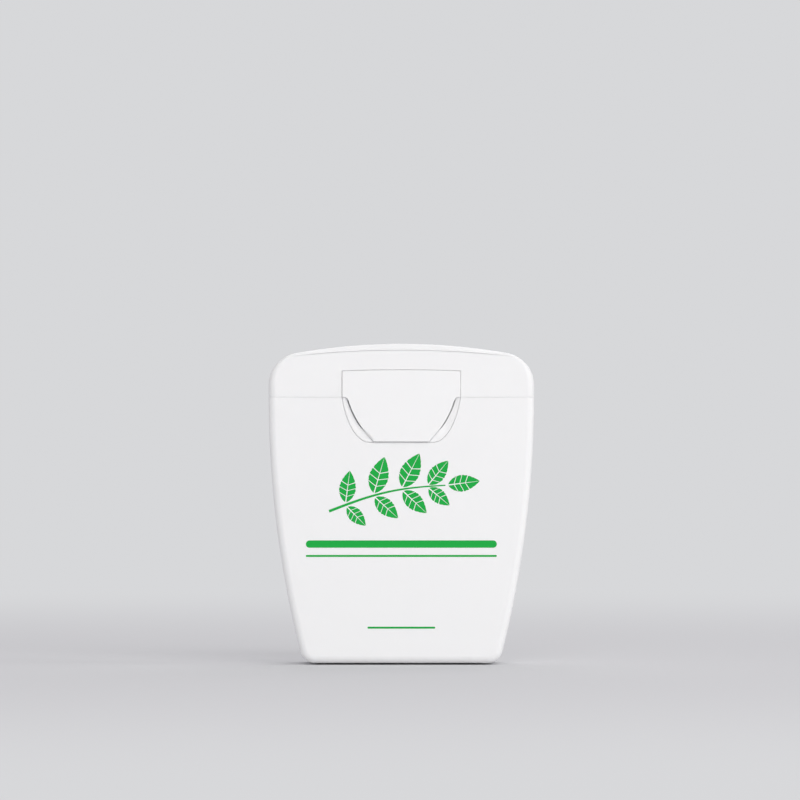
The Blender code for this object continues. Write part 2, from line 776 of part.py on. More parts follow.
def build_cutter_deck():
    plastic = make_material("Deck plastic", (0.92, 0.925, 0.93), 0.38, 0)
    wide = HALF_WIDTH - WALL - SLIP_GAP
    deep = INNER_DEPTH - SLIP_GAP
    plate = box_mesh("cutter_deck", (-wide, -deep, DECK_UNDER), (wide, deep, DECK_TOP))
    deck = make_piece("cutter_deck", plate, plastic)
    round_edges(deck, DECK_EDGE_ROUND, 2)
    half = SEAT_WIDTH / 2
    near = SEAT_DEPTH / 2
    block = box_mesh("seat", (-half, -near, DECK_UNDER + DECK_THICKNESS / 2), (half, near, SEAT_TOP))
    seat = make_cutter("seat", block)
    round_edges(seat, SEAT_EDGE_ROUND, 3)
    combine(deck, seat, "UNION")
    rim_place = Vector((OUTLET_ACROSS, 0, SEAT_TOP))
    rim = bmesh.new()
    bmesh.ops.create_cone(rim, cap_ends=True, segments=PIN_STEPS, radius1=OUTLET_RIM_RADIUS,
                          radius2=OUTLET_RIM_RADIUS - OUTLET_RIM_HEIGHT, depth=2 * OUTLET_RIM_HEIGHT,
                          matrix=Matrix.Translation(rim_place))
    combine(deck, make_cutter("outlet_rim", mesh_of(rim, "outlet_rim")), "UNION")
    hollow_low = (-half + WALL, -near + WALL, DECK_UNDER - OVERRUN)
    hollow_high = (half - WALL, near - WALL, SEAT_TOP - WALL)
    combine(deck, make_cutter("seat_hollow", box_mesh("seat_hollow", hollow_low, hollow_high)), "DIFFERENCE")
    hole = bmesh.new()
    bmesh.ops.create_cone(hole, cap_ends=True, segments=PIN_STEPS, radius1=OUTLET_RADIUS,
                          radius2=OUTLET_RADIUS, depth=OVERRUN, matrix=Matrix.Translation(rim_place))
    combine(deck, make_cutter("outlet_hole", mesh_of(hole, "outlet_hole")), "DIFFERENCE")
    notch_half = POCKET_EDGE + SLIP_GAP
    notch = box_mesh("pocket_notch", (-notch_half, FRONT, DECK_UNDER - OVERRUN),
                     (notch_half, POCKET_BACK + SLIP_GAP, DECK_TOP + OVERRUN))
    combine(deck, make_cutter("pocket_notch", notch), "DIFFERENCE")
    for facing in (-1, 1):
        combine(deck, leg_groove(facing), "DIFFERENCE")


def leg_groove(facing):
    half = CUTTER_WIDTH / 2 + SLIP_GAP / 2
    floor = SEAT_DEPTH / 2 - CUTTER_THICKNESS - CUTTER_GAP
    face = SEAT_DEPTH / 2 + OVERRUN
    depths = sorted((facing * floor, facing * face))
    low = (CUTTER_ACROSS - half, depths[0], SEAT_TOP - CUTTER_LEG - SLIP_GAP)
    high = (CUTTER_ACROSS + half, depths[1], SEAT_TOP + OVERRUN)
    return make_cutter("leg_groove", box_mesh("leg_groove", low, high))


def clip_path():
    # Half of the clip's inner line in Y and Z, from the end of a leg round the bend to the middle.
    leg = SEAT_DEPTH / 2 - CUTTER_THICKNESS
    top = SEAT_TOP + CUTTER_GAP
    bend = CUTTER_BEND_RADIUS
    points = [Vector((leg, SEAT_TOP - CUTTER_LEG))]
    for index in range(BEND_STEPS + 1):
        angle = math.radians(90) * index / BEND_STEPS
        points.append(Vector((leg - bend + bend * math.cos(angle), top - bend + bend * math.sin(angle))))
    return points


def build_cutter():
    steel = make_material("Cutter steel", (0.66, 0.67, 0.69), 0.28, 1)
    right = clip_path()
    path = right + [Vector((-point.x, point.y)) for point in reversed(right)]
    shape = bmesh.new()
    edges = []
    for side in (-1, 1):
        across = CUTTER_ACROSS + side * CUTTER_WIDTH / 2
        edges.append([shape.verts.new((across, point.x, point.y)) for point in path])
    for index in range(len(path) - 1):
        shape.faces.new((edges[0][index], edges[0][index + 1], edges[1][index + 1], edges[1][index]))
    clip = make_piece("cutter", mesh_of(shape, "cutter"), steel)
    skin = clip.modifiers.new("Sheet", "SOLIDIFY")
    skin.thickness = CUTTER_THICKNESS
    skin.offset = 1
    skin.use_even_offset = True
    combine(clip, window_tool(), "DIFFERENCE")
    combine(clip, tooth_tool(), "UNION")


def tooth_outline(margin):
    # Seen from above: parallel sides from the root, then a point toward the front.
    half = TOOTH_WIDTH / 2 + margin
    shoulder = TOOTH_LENGTH - TOOTH_POINT
    return [
        (half, 0),
        (half, -shoulder),
        (0, -TOOTH_LENGTH - margin),
        (-half, -shoulder),
        (-half, 0),
    ]


def window_tool():
    outline = tooth_outline(WINDOW_MARGIN)
    heights = (SEAT_TOP - CUTTER_THICKNESS, SEAT_TOP + OVERRUN)
    sections = [[(CUTTER_ACROSS + x, TOOTH_ROOT + y, z) for x, y in outline] for z in heights]
    return make_cutter("cutter_window", loft_mesh("cutter_window", sections))


def tooth_tool():
    # The tooth is bent up about its root line, which stays in the sheet.
    outline = [(x, y + CUTTER_THICKNESS / 2 if y == 0 else y) for x, y in tooth_outline(0)]
    lift = CUTTER_THICKNESS * math.sin(TOOTH_ANGLE)
    heights = (0, CUTTER_THICKNESS)
    sections = [[(x, y, z) for x, y in outline] for z in heights]
    tool = make_cutter("cutter_tooth", loft_mesh("cutter_tooth", sections))
    tool.location = (CUTTER_ACROSS, TOOTH_ROOT, SEAT_TOP + CUTTER_GAP + lift)
    tool.rotation_euler = (-TOOTH_ANGLE, 0, 0)
    return tool


# Floss strand.


def lead_route():
    # A tangent off the winding, up through the outlet, across the clip under the tooth, then to the deck.
    centre = Vector((0, 0, SPOOL_CENTRE))
    inlet = Vector((OUTLET_ACROSS, 0, DECK_TOP))
    reach = WINDING_RADIUS + WINDING_GAP + FLOSS_RADIUS
    toward = inlet - centre
    angle = math.atan2(toward.z, toward.x) + math.acos(reach / toward.length)
    start, touch = [centre + reach * Vector((math.cos(turn), 0, math.sin(turn)))
                    for turn in (angle + LEAD_WRAP, angle)]
    rim_top = SEAT_TOP + OUTLET_RIM_HEIGHT + FLOSS_RADIUS + LEAD_GAP
    clip_top = SEAT_TOP + CUTTER_GAP + CUTTER_THICKNESS + FLOSS_RADIUS + LEAD_GAP
    clip_left = CUTTER_ACROSS - CUTTER_WIDTH / 2
    clip_right = CUTTER_ACROSS + CUTTER_WIDTH / 2
    seat_end = SEAT_WIDTH / 2
    points = [start, touch, touch.lerp(inlet, 1 / 3), touch.lerp(inlet, 2 / 3), inlet]
    points += [Vector((OUTLET_ACROSS, 0, height)) for height in (SEAT_TOP - WALL, SEAT_TOP)]
    points.append(Vector((OUTLET_ACROSS + OUTLET_RADIUS / 2, 0, rim_top)))
    points.append(Vector((OUTLET_ACROSS + OUTLET_RIM_RADIUS, 0, rim_top + LEAD_GAP)))
    points += [Vector((across, 0, clip_top)) for across in (clip_left, CUTTER_ACROSS, clip_right)]
    points.append(Vector((seat_end - FLOSS_RADIUS, 0, clip_top)))
    points.append(Vector((seat_end + LEAD_STANDOFF, -LEAD_SWAY / 5, SEAT_TOP)))
    drop = SEAT_TOP - DECK_TOP - FLOSS_RADIUS - LEAD_GAP
    for across, sway, fall in LEAD_FALL_SHARES:
        points.append(Vector((seat_end + LEAD_REACH * across, -LEAD_SWAY * sway, SEAT_TOP - drop * fall)))
    return points


def smooth_route(points, steps):
    path = [Vector(point) for point in points]
    ends = [path[0] * 2 - path[1]] + path + [path[-1] * 2 - path[-2]]
    smooth = []
    for index in range(1, len(ends) - 2):
        before, start, end, after = ends[index - 1:index + 3]
        for part in range(steps):
            t = part / steps
            slope = end - before
            bend = 2 * before - 5 * start + 4 * end - after
            turn = 3 * start - before - 3 * end + after
            smooth.append((2 * start + slope * t + bend * t ** 2 + turn * t ** 3) / 2)
    smooth.append(path[-1])
    return smooth


def build_floss_lead():
    floss = make_material("Floss strand", (0.86, 0.93, 0.89), 0.5, 0)
    route = smooth_route(lead_route(), LEAD_STEPS)
    curve = bpy.data.curves.new("floss_lead", "CURVE")
    curve.dimensions = "3D"
    line = curve.splines.new("POLY")
    line.points.add(len(route) - 1)
    for spot, place in zip(line.points, route):
        spot.co = (*place, 1)
    curve.bevel_depth = FLOSS_RADIUS
    curve.bevel_resolution = 2
    curve.use_fill_caps = True
    curve.materials.append(floss)
    lead = bpy.data.objects.new("floss_lead", curve)
    lead.parent = frame
    parts.objects.link(lead)


def shade_round(piece):
    piece.data.shade_smooth()
    piece.data.set_sharp_from_angle(angle=math.radians(35))
    piece.modifiers.new("Even shading", "WEIGHTED_NORMAL")


clear_scene()
parts = make_collection("dental_floss_dispenser")
cutters = make_collection("cutters")

# The tab stands out in front, so the case sits that much further back to centre the whole.
frame = make_empty("case_frame", (0, TAB_PROUD / 2, 0), None, parts)
lid_axis = make_empty("lid_axis", (0, HALF_DEPTH, SEAM), frame, parts)
spool_axis = make_empty("spool_axis", (0, 0, SPOOL_CENTRE), frame, parts)

case_cavity = make_cutter("case_cavity", case_form("case_cavity", WALL, False, 1))
strap_notches = [strap_notch(side) for side in (-1, 1)]

build_front_shell(case_cavity, strap_notches)
build_back_shell(case_cavity, strap_notches)
build_lid(lid_axis)
build_lid_hinge()
strap_plastic = make_material("Strap plastic", (0.93, 0.93, 0.935), 0.35, 0)
build_bottom_hinge(-1, "bottom_hinge_left", strap_plastic)
build_bottom_hinge(1, "bottom_hinge_right", strap_plastic)
build_cutter_deck()
build_cutter()
build_spool_core(spool_axis)
build_floss_winding(spool_axis)
build_floss_lead()
for item in parts.objects:
    if item.type == "MESH":
        shade_round(item)
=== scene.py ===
import math

import bmesh
import bpy
import numpy as np
from mathutils import Matrix, Vector


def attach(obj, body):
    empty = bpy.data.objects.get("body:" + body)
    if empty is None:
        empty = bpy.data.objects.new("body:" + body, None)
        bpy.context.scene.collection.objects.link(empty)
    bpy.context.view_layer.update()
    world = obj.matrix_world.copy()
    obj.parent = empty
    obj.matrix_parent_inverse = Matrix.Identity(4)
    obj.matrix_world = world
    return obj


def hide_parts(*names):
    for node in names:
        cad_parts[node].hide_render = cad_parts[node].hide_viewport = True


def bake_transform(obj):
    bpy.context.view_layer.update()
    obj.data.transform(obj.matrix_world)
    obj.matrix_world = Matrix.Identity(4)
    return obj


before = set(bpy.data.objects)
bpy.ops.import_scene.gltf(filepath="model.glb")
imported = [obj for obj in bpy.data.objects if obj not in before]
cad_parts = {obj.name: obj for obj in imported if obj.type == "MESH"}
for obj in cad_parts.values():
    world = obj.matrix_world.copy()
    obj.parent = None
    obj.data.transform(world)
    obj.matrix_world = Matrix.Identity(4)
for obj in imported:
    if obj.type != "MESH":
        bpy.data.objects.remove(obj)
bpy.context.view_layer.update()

print("CAD frame loaded with", len(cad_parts), "nodes")

# Everything below is in metres, X across, Y from front to back, Z up from the floor. Depths are measured
# from the middle of the case, which sits "shift" behind the origin; dressPiece moves each mesh there.
case = {
    "halfWidth": 0.0235,
    "halfDepth": 0.0095,
    "bottom": 0.0003,
    "seam": 0.0474,
    "crown": 0.0569,
    "sideRadius": 0.184,
    "bottomCorner": 0.0028,
    "topCorner": 0.0058,
    "topRadius": 0.109,
    "crownDrop": 0.00093,
    "edge": 0.0013,
    "crease": 0.00015,
    "wall": 0.0012,
    "innerRound": 0.0005,
    "seamGap": 0.00002,
    "seamRound": 0.00004,
    "partingGap": 0.00006,
    "partingRound": 0.0001,
    "shift": 0.0003,
    "arcSteps": (12, 28, 26, 30),
    "overrun": 0.004,  # how far a cutting tool runs on past a surface
    "outside": 0.02,  # a depth well outside the case
}
caseFront = -case["halfDepth"]
innerDepth = case["halfDepth"] - case["wall"]
wallMiddle = case["halfDepth"] - case["wall"] / 2


# Shared ways of making meshes

def addObject(name, data):
    # A new object in the scene for a mesh, a lamp or a camera.
    made = bpy.data.objects.new(name, data)
    bpy.context.scene.collection.objects.link(made)
    return made


def mendMesh(mesh, merge, slivers=0.0, carved=False):
    # Merges points that lie closer than merge and dissolves slivers. A carved mesh then has its small holes
    # filled, and any other has its faces turned outwards.
    shape = bmesh.new()
    shape.from_mesh(mesh)
    bmesh.ops.remove_doubles(shape, verts=shape.verts, dist=merge)
    if slivers:
        bmesh.ops.dissolve_degenerate(shape, edges=shape.edges, dist=slivers)
    if carved:
        rims = [edge for edge in shape.edges if edge.is_boundary]
        bmesh.ops.holes_fill(shape, edges=rims, sides=8)
    else:
        bmesh.ops.recalc_face_normals(shape, faces=shape.faces)
    shape.to_mesh(mesh)
    shape.free()


def closedPiece(name, points, faces):
    # A mesh of points and faces whose normals are turned outwards.
    mesh = bpy.data.meshes.new(name)
    mesh.from_pydata(np.asarray(points, float).reshape(-1, 3).tolist(), [], faces)
    mendMesh(mesh, 1e-7)
    return addObject(name, mesh)


def gridFaces(rows, count):
    # Quads between neighbouring rows of points, where the last point of a row joins its first.
    row = np.arange(rows - 1)[:, None] * count
    column = np.arange(count)[None, :]
    after = (column + 1) % count
    corners = (row + column, row + after, row + count + after, row + count + column)
    return np.stack(np.broadcast_arrays(*corners), -1).reshape(-1, 4)


def loftPiece(name, rows):
    # Closed loops of equal length, joined in order, with a flat face over the first and the last.
    rows = np.asarray(rows, float)
    total, count = rows.shape[:2]
    faces = gridFaces(total, count).tolist()
    faces += [list(range(count)), list(range((total - 1) * count, total * count))]
    return closedPiece(name, rows, faces)


def ringPiece(name, rows):
    # Closed loops of equal length, joined in order, of which the last joins the first.
    total, count = rows.shape[:2]
    faces = gridFaces(total + 1, count) % (total * count)
    return closedPiece(name, rows, faces.tolist())


def slabPiece(name, outline, near, far):
    # A flat outline of X and Z pairs with depth along Y.
    loop = np.insert(np.asarray(outline, float), 1, 0, axis=1)
    return loftPiece(name, [loop + (0, depth, 0) for depth in (near, far)])


def blockPiece(name, low, high):
    # A plain block between two corners.
    x, y, z = zip(low, high)
    loop = np.array([(x[0], y[0]), (x[1], y[0]), (x[1], y[1]), (x[0], y[1])])
    return loftPiece(name, [np.insert(loop, 2, height, axis=1) for height in z])


def arcRun(centre, radius, start, end, steps):
    # Points on an arc, the centre plus the radius times cosine and sine, and the outward direction at each.
    turn = np.linspace(start, end, steps + 1)
    outward = np.stack([np.cos(turn), np.sin(turn)], 1)
    return np.asarray(centre) + radius * outward, outward


def planLoop(halfX, halfY, corner, steps=12):
    # A rectangle seen from above with a quarter circle at each corner.
    corner = max(corner, 1e-5)
    quarter = arcRun((halfX - corner, halfY - corner), corner, 0, math.pi / 2, steps)[0]
    flipX, flipY = quarter[::-1] * (-1, 1), quarter[::-1] * (1, -1)
    return np.vstack([quarter, flipX, quarter * -1, flipY])


def softBlock(name, low, high, corner, edge, steps=6):
    # A block whose plan corners have one radius, and whose top and bottom edges draw in along a quarter
    # circle of another.
    low, high = np.asarray(low, float), np.asarray(high, float)
    middle, half = (low + high) / 2, (high - low) / 2
    turn = np.linspace(0, math.pi / 2, steps + 1)
    drawn = edge - edge * np.cos(turn)
    level = half[2] - edge + edge * np.sin(turn)
    rows = []
    for inset, height in zip(np.r_[drawn[::-1], drawn], np.r_[-level[::-1], level]):
        loop = planLoop(half[0] - inset, half[1] - inset, corner - inset)
        rows.append(np.insert(loop, 2, height, axis=1))
    return loftPiece(name, np.array(rows) + middle)


def turnedPiece(name, profile, centre, axis, steps=96):
    # A closed profile of radius and height pairs turned about an axis, "Y" or "Z", through the centre.
    profile = np.asarray(profile, float)
    turn = np.linspace(0, 2 * math.pi, steps, endpoint=False)[:, None]
    radius, height = profile[:, 0], profile[:, 1]
    around, across = radius * np.cos(turn), radius * np.sin(turn)
    level = np.broadcast_to(height, around.shape)
    order = (around, level, across) if axis == "Y" else (around, across, level)
    return ringPiece(name, np.stack(order, -1) + np.asarray(centre))


def rodPiece(name, centre, radius, near, far, axis="Y", tip=0.0):
    # A solid rod along an axis between two places, its far end chamfered by the tip.
    profile = [(0, near), (radius, near), (radius, far - tip), (radius - tip, far), (0, far)]
    if not tip:
        del profile[3]
    rod = turnedPiece(name, profile, centre, axis, 40)
    mendMesh(rod.data, 1e-7, 1e-8)
    return rod


def carve(piece, steps, bevel=0.0):
    # Runs the Boolean steps in order, keeps the result as the piece's mesh and clears the tools away.
    for operation, tool in steps:
        step = piece.modifiers.new(tool.name, "BOOLEAN")
        step.operation, step.object, step.solver = operation, tool, "EXACT"
    if bevel:
        step = piece.modifiers.new("Edges", "BEVEL")
        step.width, step.segments = bevel, 2
        step.limit_method, step.angle_limit = "ANGLE", math.radians(50)
    bpy.context.view_layer.update()
    graph = bpy.context.evaluated_depsgraph_get()
    mesh = bpy.data.meshes.new_from_object(piece.evaluated_get(graph), depsgraph=graph)
    piece.modifiers.clear()
    old = piece.data
    piece.data = mesh
    bpy.data.meshes.remove(old)
    mesh.name = piece.name
    for _, tool in steps:
        bpy.data.objects.remove(tool)
    mendMesh(mesh, 2e-7, 2e-7, carved=True)


def dressPiece(piece, body, nodes, material, sharp=32):
    # Puts the mesh in its place, shades it and hangs it on its body.
    mesh = piece.data
    mesh.transform(Matrix.Translation((0, case["shift"], 0)))
    mesh.materials.clear()
    mesh.materials.append(material)
    mesh.shade_smooth()
    mesh.set_sharp_from_angle(angle=math.radians(sharp))
    step = piece.modifiers.new("Even shading", "WEIGHTED_NORMAL")
    step.keep_sharp = True
    if body:
        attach(piece, body)
    if nodes:
        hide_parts(*nodes)
    print("made", piece.name, len(mesh.polygons), "faces")


def smoothStep(share):
    # From 0 to 1 along three squares less two cubes, level at both ends.
    return share * share * (3 - 2 * share)


def unit(vectors):
    # Each vector divided by its length.
    return vectors / np.linalg.norm(vectors, axis=1)[:, None]


def sidewaysOf(curve):
    # The directions at right angles to a flat curve, on its left.
    along = unit(np.gradient(curve, axis=0))
    return np.stack([-along[:, 1], along[:, 0]], 1)


def offsetLoop(loop, distance):
    # Moves every point inward along the mean of its two edge normals, so that both edges move by the
    # distance.
    along = unit(np.roll(loop, -1, 0) - loop)
    normal = np.stack([along[:, 1], -along[:, 0]], 1)
    before = np.roll(normal, 1, 0)
    mean = (normal + before) / (1 + np.sum(normal * before, 1))[:, None]
    area = np.sum(loop[:, 0] * np.roll(loop[:, 1], -1) - np.roll(loop[:, 0], -1) * loop[:, 1])
    return loop + mean * np.broadcast_to(distance, len(loop))[:, None] * (1 if area < 0 else -1)


# The case's master form

def sideAt(height, inset):
    # Half the width at a height: the side is an arc that stands upright at the seam.
    reach = case["sideRadius"] - inset
    return case["halfWidth"] - case["sideRadius"] + math.sqrt(reach ** 2 - (case["seam"] - height) ** 2)


def caseOutline(inset):
    # The right half from the bottom up: two corner arcs, the side's arc and the top's arc, each tangent to
    # the next. With it go the outward direction, the radius of the edge's rounding, and 1 above the seam,
    # where the top falls.
    lowSteps, sideSteps, cornerSteps, topSteps = case["arcSteps"]
    lowZ = case["bottom"] + case["bottomCorner"]
    lowX = sideAt(lowZ, case["bottomCorner"])
    sideX = case["halfWidth"] - case["sideRadius"]
    lean = math.atan2(lowZ - case["seam"], lowX - sideX)
    highX = case["halfWidth"] - case["topCorner"]
    topZ = case["crown"] - case["topRadius"]
    highZ = topZ + math.sqrt((case["topRadius"] - case["topCorner"]) ** 2 - highX ** 2)
    brow = math.atan2(highZ - topZ, highX)
    low = arcRun((lowX, lowZ), case["bottomCorner"] - inset, -math.pi / 2, lean, lowSteps)
    side = arcRun((sideX, case["seam"]), case["sideRadius"] - inset, lean, 0, sideSteps)
    high = arcRun((highX, highZ), case["topCorner"] - inset, 0, brow, cornerSteps)
    top = arcRun((0, topZ), case["topRadius"] - inset, brow, math.pi / 2, topSteps)
    place, outward = [np.vstack([low[part], side[part][1:], high[part], top[part][1:]]) for part in (0, 1)]
    below = lowSteps + 1 + sideSteps
    corner = case["edge"] + (case["crease"] - case["edge"]) * smoothStep(np.linspace(0, 1, cornerSteps + 1))
    edge = np.r_[np.full(below, case["edge"]), corner, np.full(topSteps, case["crease"])]
    crowned = np.r_[np.zeros(below), np.ones(len(place) - below)]
    return place, outward, edge, crowned


def caseLoops(inset, depths, edge=None, part=None):
    # The outline at each depth: the top falls with the square of the depth, the ends draw in along a
    # quarter circle of the edge radius, and at the parting plane the outline draws in along a smaller one.
    place, outward, radius, crowned = caseOutline(inset)
    if edge is not None:
        radius = np.full(len(place), edge)
    half = case["halfDepth"] - inset
    depth = np.asarray(depths, float)[:, None]
    drop = crowned * case["crownDrop"] * (1 - (place[:, 0] / case["halfWidth"]) ** 2) * (depth / half) ** 2
    over = np.clip(np.abs(depth) - half + radius, 0, None)
    drawn = radius - np.sqrt(np.clip(radius ** 2 - over ** 2, 0, None))
    if part is not None:
        small = case["partingRound"]
        near = np.clip(small - np.abs(depth - part), 0, small)
        drawn = drawn + small - np.sqrt(small ** 2 - near ** 2)
    x = place[:, 0] - outward[:, 0] * drawn
    z = place[:, 1] - drop - outward[:, 1] * drawn
    right = np.stack([x, np.broadcast_to(depth, x.shape), z], -1)
    return np.concatenate([right, right[:, -2::-1] * (-1, 1, 1)], 1)


def endRows(half, edge, steps=14):
    # Depths from where the edge's rounding starts out to the face, closer together toward the face.
    return half - edge + edge * np.sin(np.linspace(0, math.pi / 2, steps + 1))


def halfDepths():
    # Depths of the back half from its parting face to its outer face, close together in both roundings.
    small, ends = case["partingRound"], endRows(case["halfDepth"], case["edge"])
    first = case["partingGap"] / 2 + small - small * np.sin(np.linspace(math.pi / 2, 0, 6))
    return np.r_[first, np.linspace(first[-1], ends[0], 9)[1:], ends[1:]]


def throughDepths(ends, steps):
    # Depths from front to back, close together in the rounding at each end.
    return np.r_[-ends[::-1], np.linspace(-ends[0], ends[0], steps)[1:-1], ends]


def cavityPiece():
    # The master form drawn in by the wall's thickness.
    depths = throughDepths(endRows(innerDepth, case["innerRound"], 5), 9)
    return loftPiece("cavity", caseLoops(case["wall"], depths, edge=case["innerRound"]))


def seamTool(above):
    # Everything on one side of the seam; its rim draws in along a quarter circle, so the cut edge is round.
    small, over = case["seamRound"], case["overrun"]
    proud = 0.000003  # the rim starts this far outside the case, so that the faces cross at an angle
    skirt = 0.00002  # the straight part before the rim
    reach = 0.06  # past the whole case
    rim = arcRun((proud - small, -small), small, 0, math.pi / 2, 6)[0]
    side = -1 if above else 1
    edgeZ = case["seam"] - side * case["seamGap"] / 2
    rows = []
    for grow, rise in np.vstack([(over, -reach), (over, -small - skirt), rim]):
        loop = planLoop(case["halfWidth"] + grow, case["halfDepth"] + grow, case["edge"] + grow)
        rows.append(np.insert(loop, 2, edgeZ + side * rise, axis=1))
    return loftPiece("seamCut", rows)


# Thumb tab, its pocket with the scooped sides, and the fine lines

tab = {
    "width": 0.019,
    "endWidth": 0.0098,
    "length": 0.00787,
    "knots": ((0.88, 0.31), (0.53, 0.69)),
    "thickness": 0.0011,
    "endProud": 0.00059,
    "panelProud": 0.00015,
    "panelHeight": 0.0048,
    "panelArch": 0.0002,
    "edge": 0.00005,
    "cornerEdge": 0.0005,
    "swell": (0.62, 0.25, 0.05),  # where the edge's rounding starts to swell, over how far, and its fall
    "shoulder": 0.0005,
}
pocket = {
    "margin": 0.00095,
    "endMargin": 0.0007,
    "endGap": 0.00006,
    "knots": ((0.886, 0.46), (0.535, 1.0)),
    "slip": 0.0002,
    "endSlip": 0.00003,
    "scoop": 0.0004,
    "endScoop": 0.0001,
    "scoopPower": 1.4,
    "late": (0.55, 0.25),  # where the scoop starts to die out on the way down, and over how far
    "rim": 0.000015,
    "depth": 0.0014,
}
groove = {
    "width": 0.00011,
    "depth": 0.0003,
    "floorShare": 0.6,
    "least": 0.12,
    "fade": 0.0008,
    "creaseDepth": 0.00028,
    "creaseReach": 0.0196,
    "creaseFade": 0.004,
    "creaseSink": 0.9,
    "scoopLean": 0.3,
    "scoopLap": 0.00001,
    "overrun": 0.001,
}
bead = {"length": 0.0065, "radius": 0.0004, "proud": 0.00013, "pocketDrop": 0.0048, "tabDrop": 0.0055}
panelHalf = tab["width"] / 2 + pocket["margin"]
pocketBack = caseFront + pocket["depth"] + case["wall"]


def hangingCurve(halfTop, halfEnd, length, knots):
    # A cubic Bezier curve from the seam down to the end of the tab or scoop, on the right-hand side. Each
    # middle knot is given by the share of the narrowing that is still to come, and its share of the length.
    t = np.linspace(0, 1, 41)[:, None]
    u = 1 - t
    seam, (upper, lower) = case["seam"], knots
    first = np.array([halfTop, seam])
    second = np.array([halfTop - (halfTop - halfEnd) * (1 - upper[0]), seam - length * upper[1]])
    third = np.array([halfEnd + (halfTop - halfEnd) * lower[0], seam - length * lower[1]])
    last = np.array([halfEnd, seam - length])
    return u ** 3 * first + 3 * u * u * t * second + 3 * u * t * t * third + t ** 3 * last


def scoopCurve(grow):
    # The scoop's rim, grown outward.
    return hangingCurve(panelHalf + grow, tab["endWidth"] / 2 + pocket["endMargin"] + grow / 2,
                        tab["length"] + pocket["endGap"] + grow, pocket["knots"])


def tabCurve():
    # The tab's own side below the seam.
    return hangingCurve(tab["width"] / 2, tab["endWidth"] / 2, tab["length"], tab["knots"])


def bothSides(right):
    # The right side's points and then their mirror images, back to the start.
    return np.vstack([right, right[::-1] * (-1, 1)])


def pocketPiece():
    # Lofted from the scoop's outline at the face to the tab's own outline at the floor: the dish falls with
    # a power of the way across, and both the dish and the gap beside the tab die out toward its lower end.
    over, rim, power = case["overrun"], pocket["rim"], pocket["scoopPower"]
    wide, narrow = scoopCurve(0), tabCurve()
    down = np.linspace(0, 1, len(wide))[:, None]
    start, reach = pocket["late"]
    late = smoothStep(np.clip((down - start) / reach, 0, 1))
    gap = pocket["slip"] + (pocket["endSlip"] - pocket["slip"]) * late
    dish = pocket["scoop"] + (pocket["endScoop"] - pocket["scoop"]) * late
    narrow = narrow + sidewaysOf(narrow) * gap
    share = np.array([0.0, 0.12, 0.25, 0.4, 0.55, 0.7, 0.84, 1.0])
    loops = [wide] + [wide + (narrow - wide) * s for s in share] + [narrow]
    depths = [np.full_like(dish, -over)] + [rim + (dish - rim) * s ** power for s in share]
    depths.append(np.full_like(dish, pocket["depth"]))
    rows = []
    for loop, depth in zip(loops, depths):
        right = np.concatenate([loop[:, :1], caseFront + depth, loop[:, 1:]], 1)
        right = np.vstack([right[:1] + (0, 0, over), right])
        rows.append(np.vstack([right, right[::-1] * (-1, 1, 1)]))
    return loftPiece("pocket", rows)


def lineTool(name, outlineAt):
    # A narrow groove with leaning walls along the outside of an outline, which is given for a growth; it is
    # shallow straight under the tab's end.
    lowest, width, floor = case["seam"] - tab["length"], groove["width"], groove["depth"]
    rows = []
    for depth, grow in ((-groove["overrun"], width), (0.0, width), (floor, width * groove["floorShare"])):
        loop = outlineAt(grow)
        beside = (np.abs(loop[:, 0]) - tab["endWidth"] / 2) / pocket["endMargin"]
        clear = np.maximum((loop[:, 1] - lowest) / groove["fade"], beside)
        fade = np.clip(clear, groove["least"], 1) if depth > 0 else 1
        rows.append(np.insert(loop, 1, caseFront + depth * fade, axis=1))
    return loftPiece(name, rows)


def panelTop(grow):
    # The panel's top line from the middle to its right corner, falling with the square of the way across.
    half = panelHalf + grow
    across = np.linspace(0, half, 13)
    height = case["seam"] + tab["panelHeight"] + grow - tab["panelArch"] * (across / half) ** 2
    return np.stack([across, height], 1)


def panelLine(grow):
    # The panel's top line with its two sides, which run on past the seam.
    right = np.vstack([panelTop(grow), (panelHalf + grow, case["seam"] - groove["overrun"])])
    return np.vstack([right, right[:0:-1] * (-1, 1)])


def scoopLine(grow):
    # A strip along the scoop's rim, from just inside it to the growth outside it.
    inward = (groove["width"] - grow) * groove["scoopLean"] - groove["scoopLap"]
    strip = []
    for curve in (scoopCurve(grow), scoopCurve(inward)):
        last = (tab["endWidth"] / 2, curve[-1, 1])
        strip.append(bothSides(np.vstack([(curve[0, 0], case["seam"] + case["overrun"]), curve, last])))
    return np.vstack([strip[0], strip[1][::-1]])


def creaseLineTool():
    # A fine groove just under the crease between face and top: its height is the crown's arc less the drop
    # of the top toward the face, and its width and depth die out at both ends.
    reach, front = groove["creaseReach"], caseFront - groove["overrun"]
    x = np.linspace(-reach, reach, 61)
    arc = case["crown"] - case["topRadius"] + np.sqrt(case["topRadius"] ** 2 - x ** 2)
    drop = case["crownDrop"] * (1 - (x / case["halfWidth"]) ** 2)
    z = arc - drop - case["crease"] - groove["width"] * groove["creaseSink"]
    fade = np.clip((reach - np.abs(x)) / groove["creaseFade"], groove["least"], 1)
    rows = []
    for across, up, share in zip(x, z, fade):
        half, floor = groove["width"] / 2 * share, caseFront + groove["creaseDepth"] * share
        low = half * groove["floorShare"]
        rows.append([(across, front, up + half), (across, front, up - half),
                     (across, floor, up - low), (across, floor, up + low)])
    return loftPiece("creaseLine", rows)


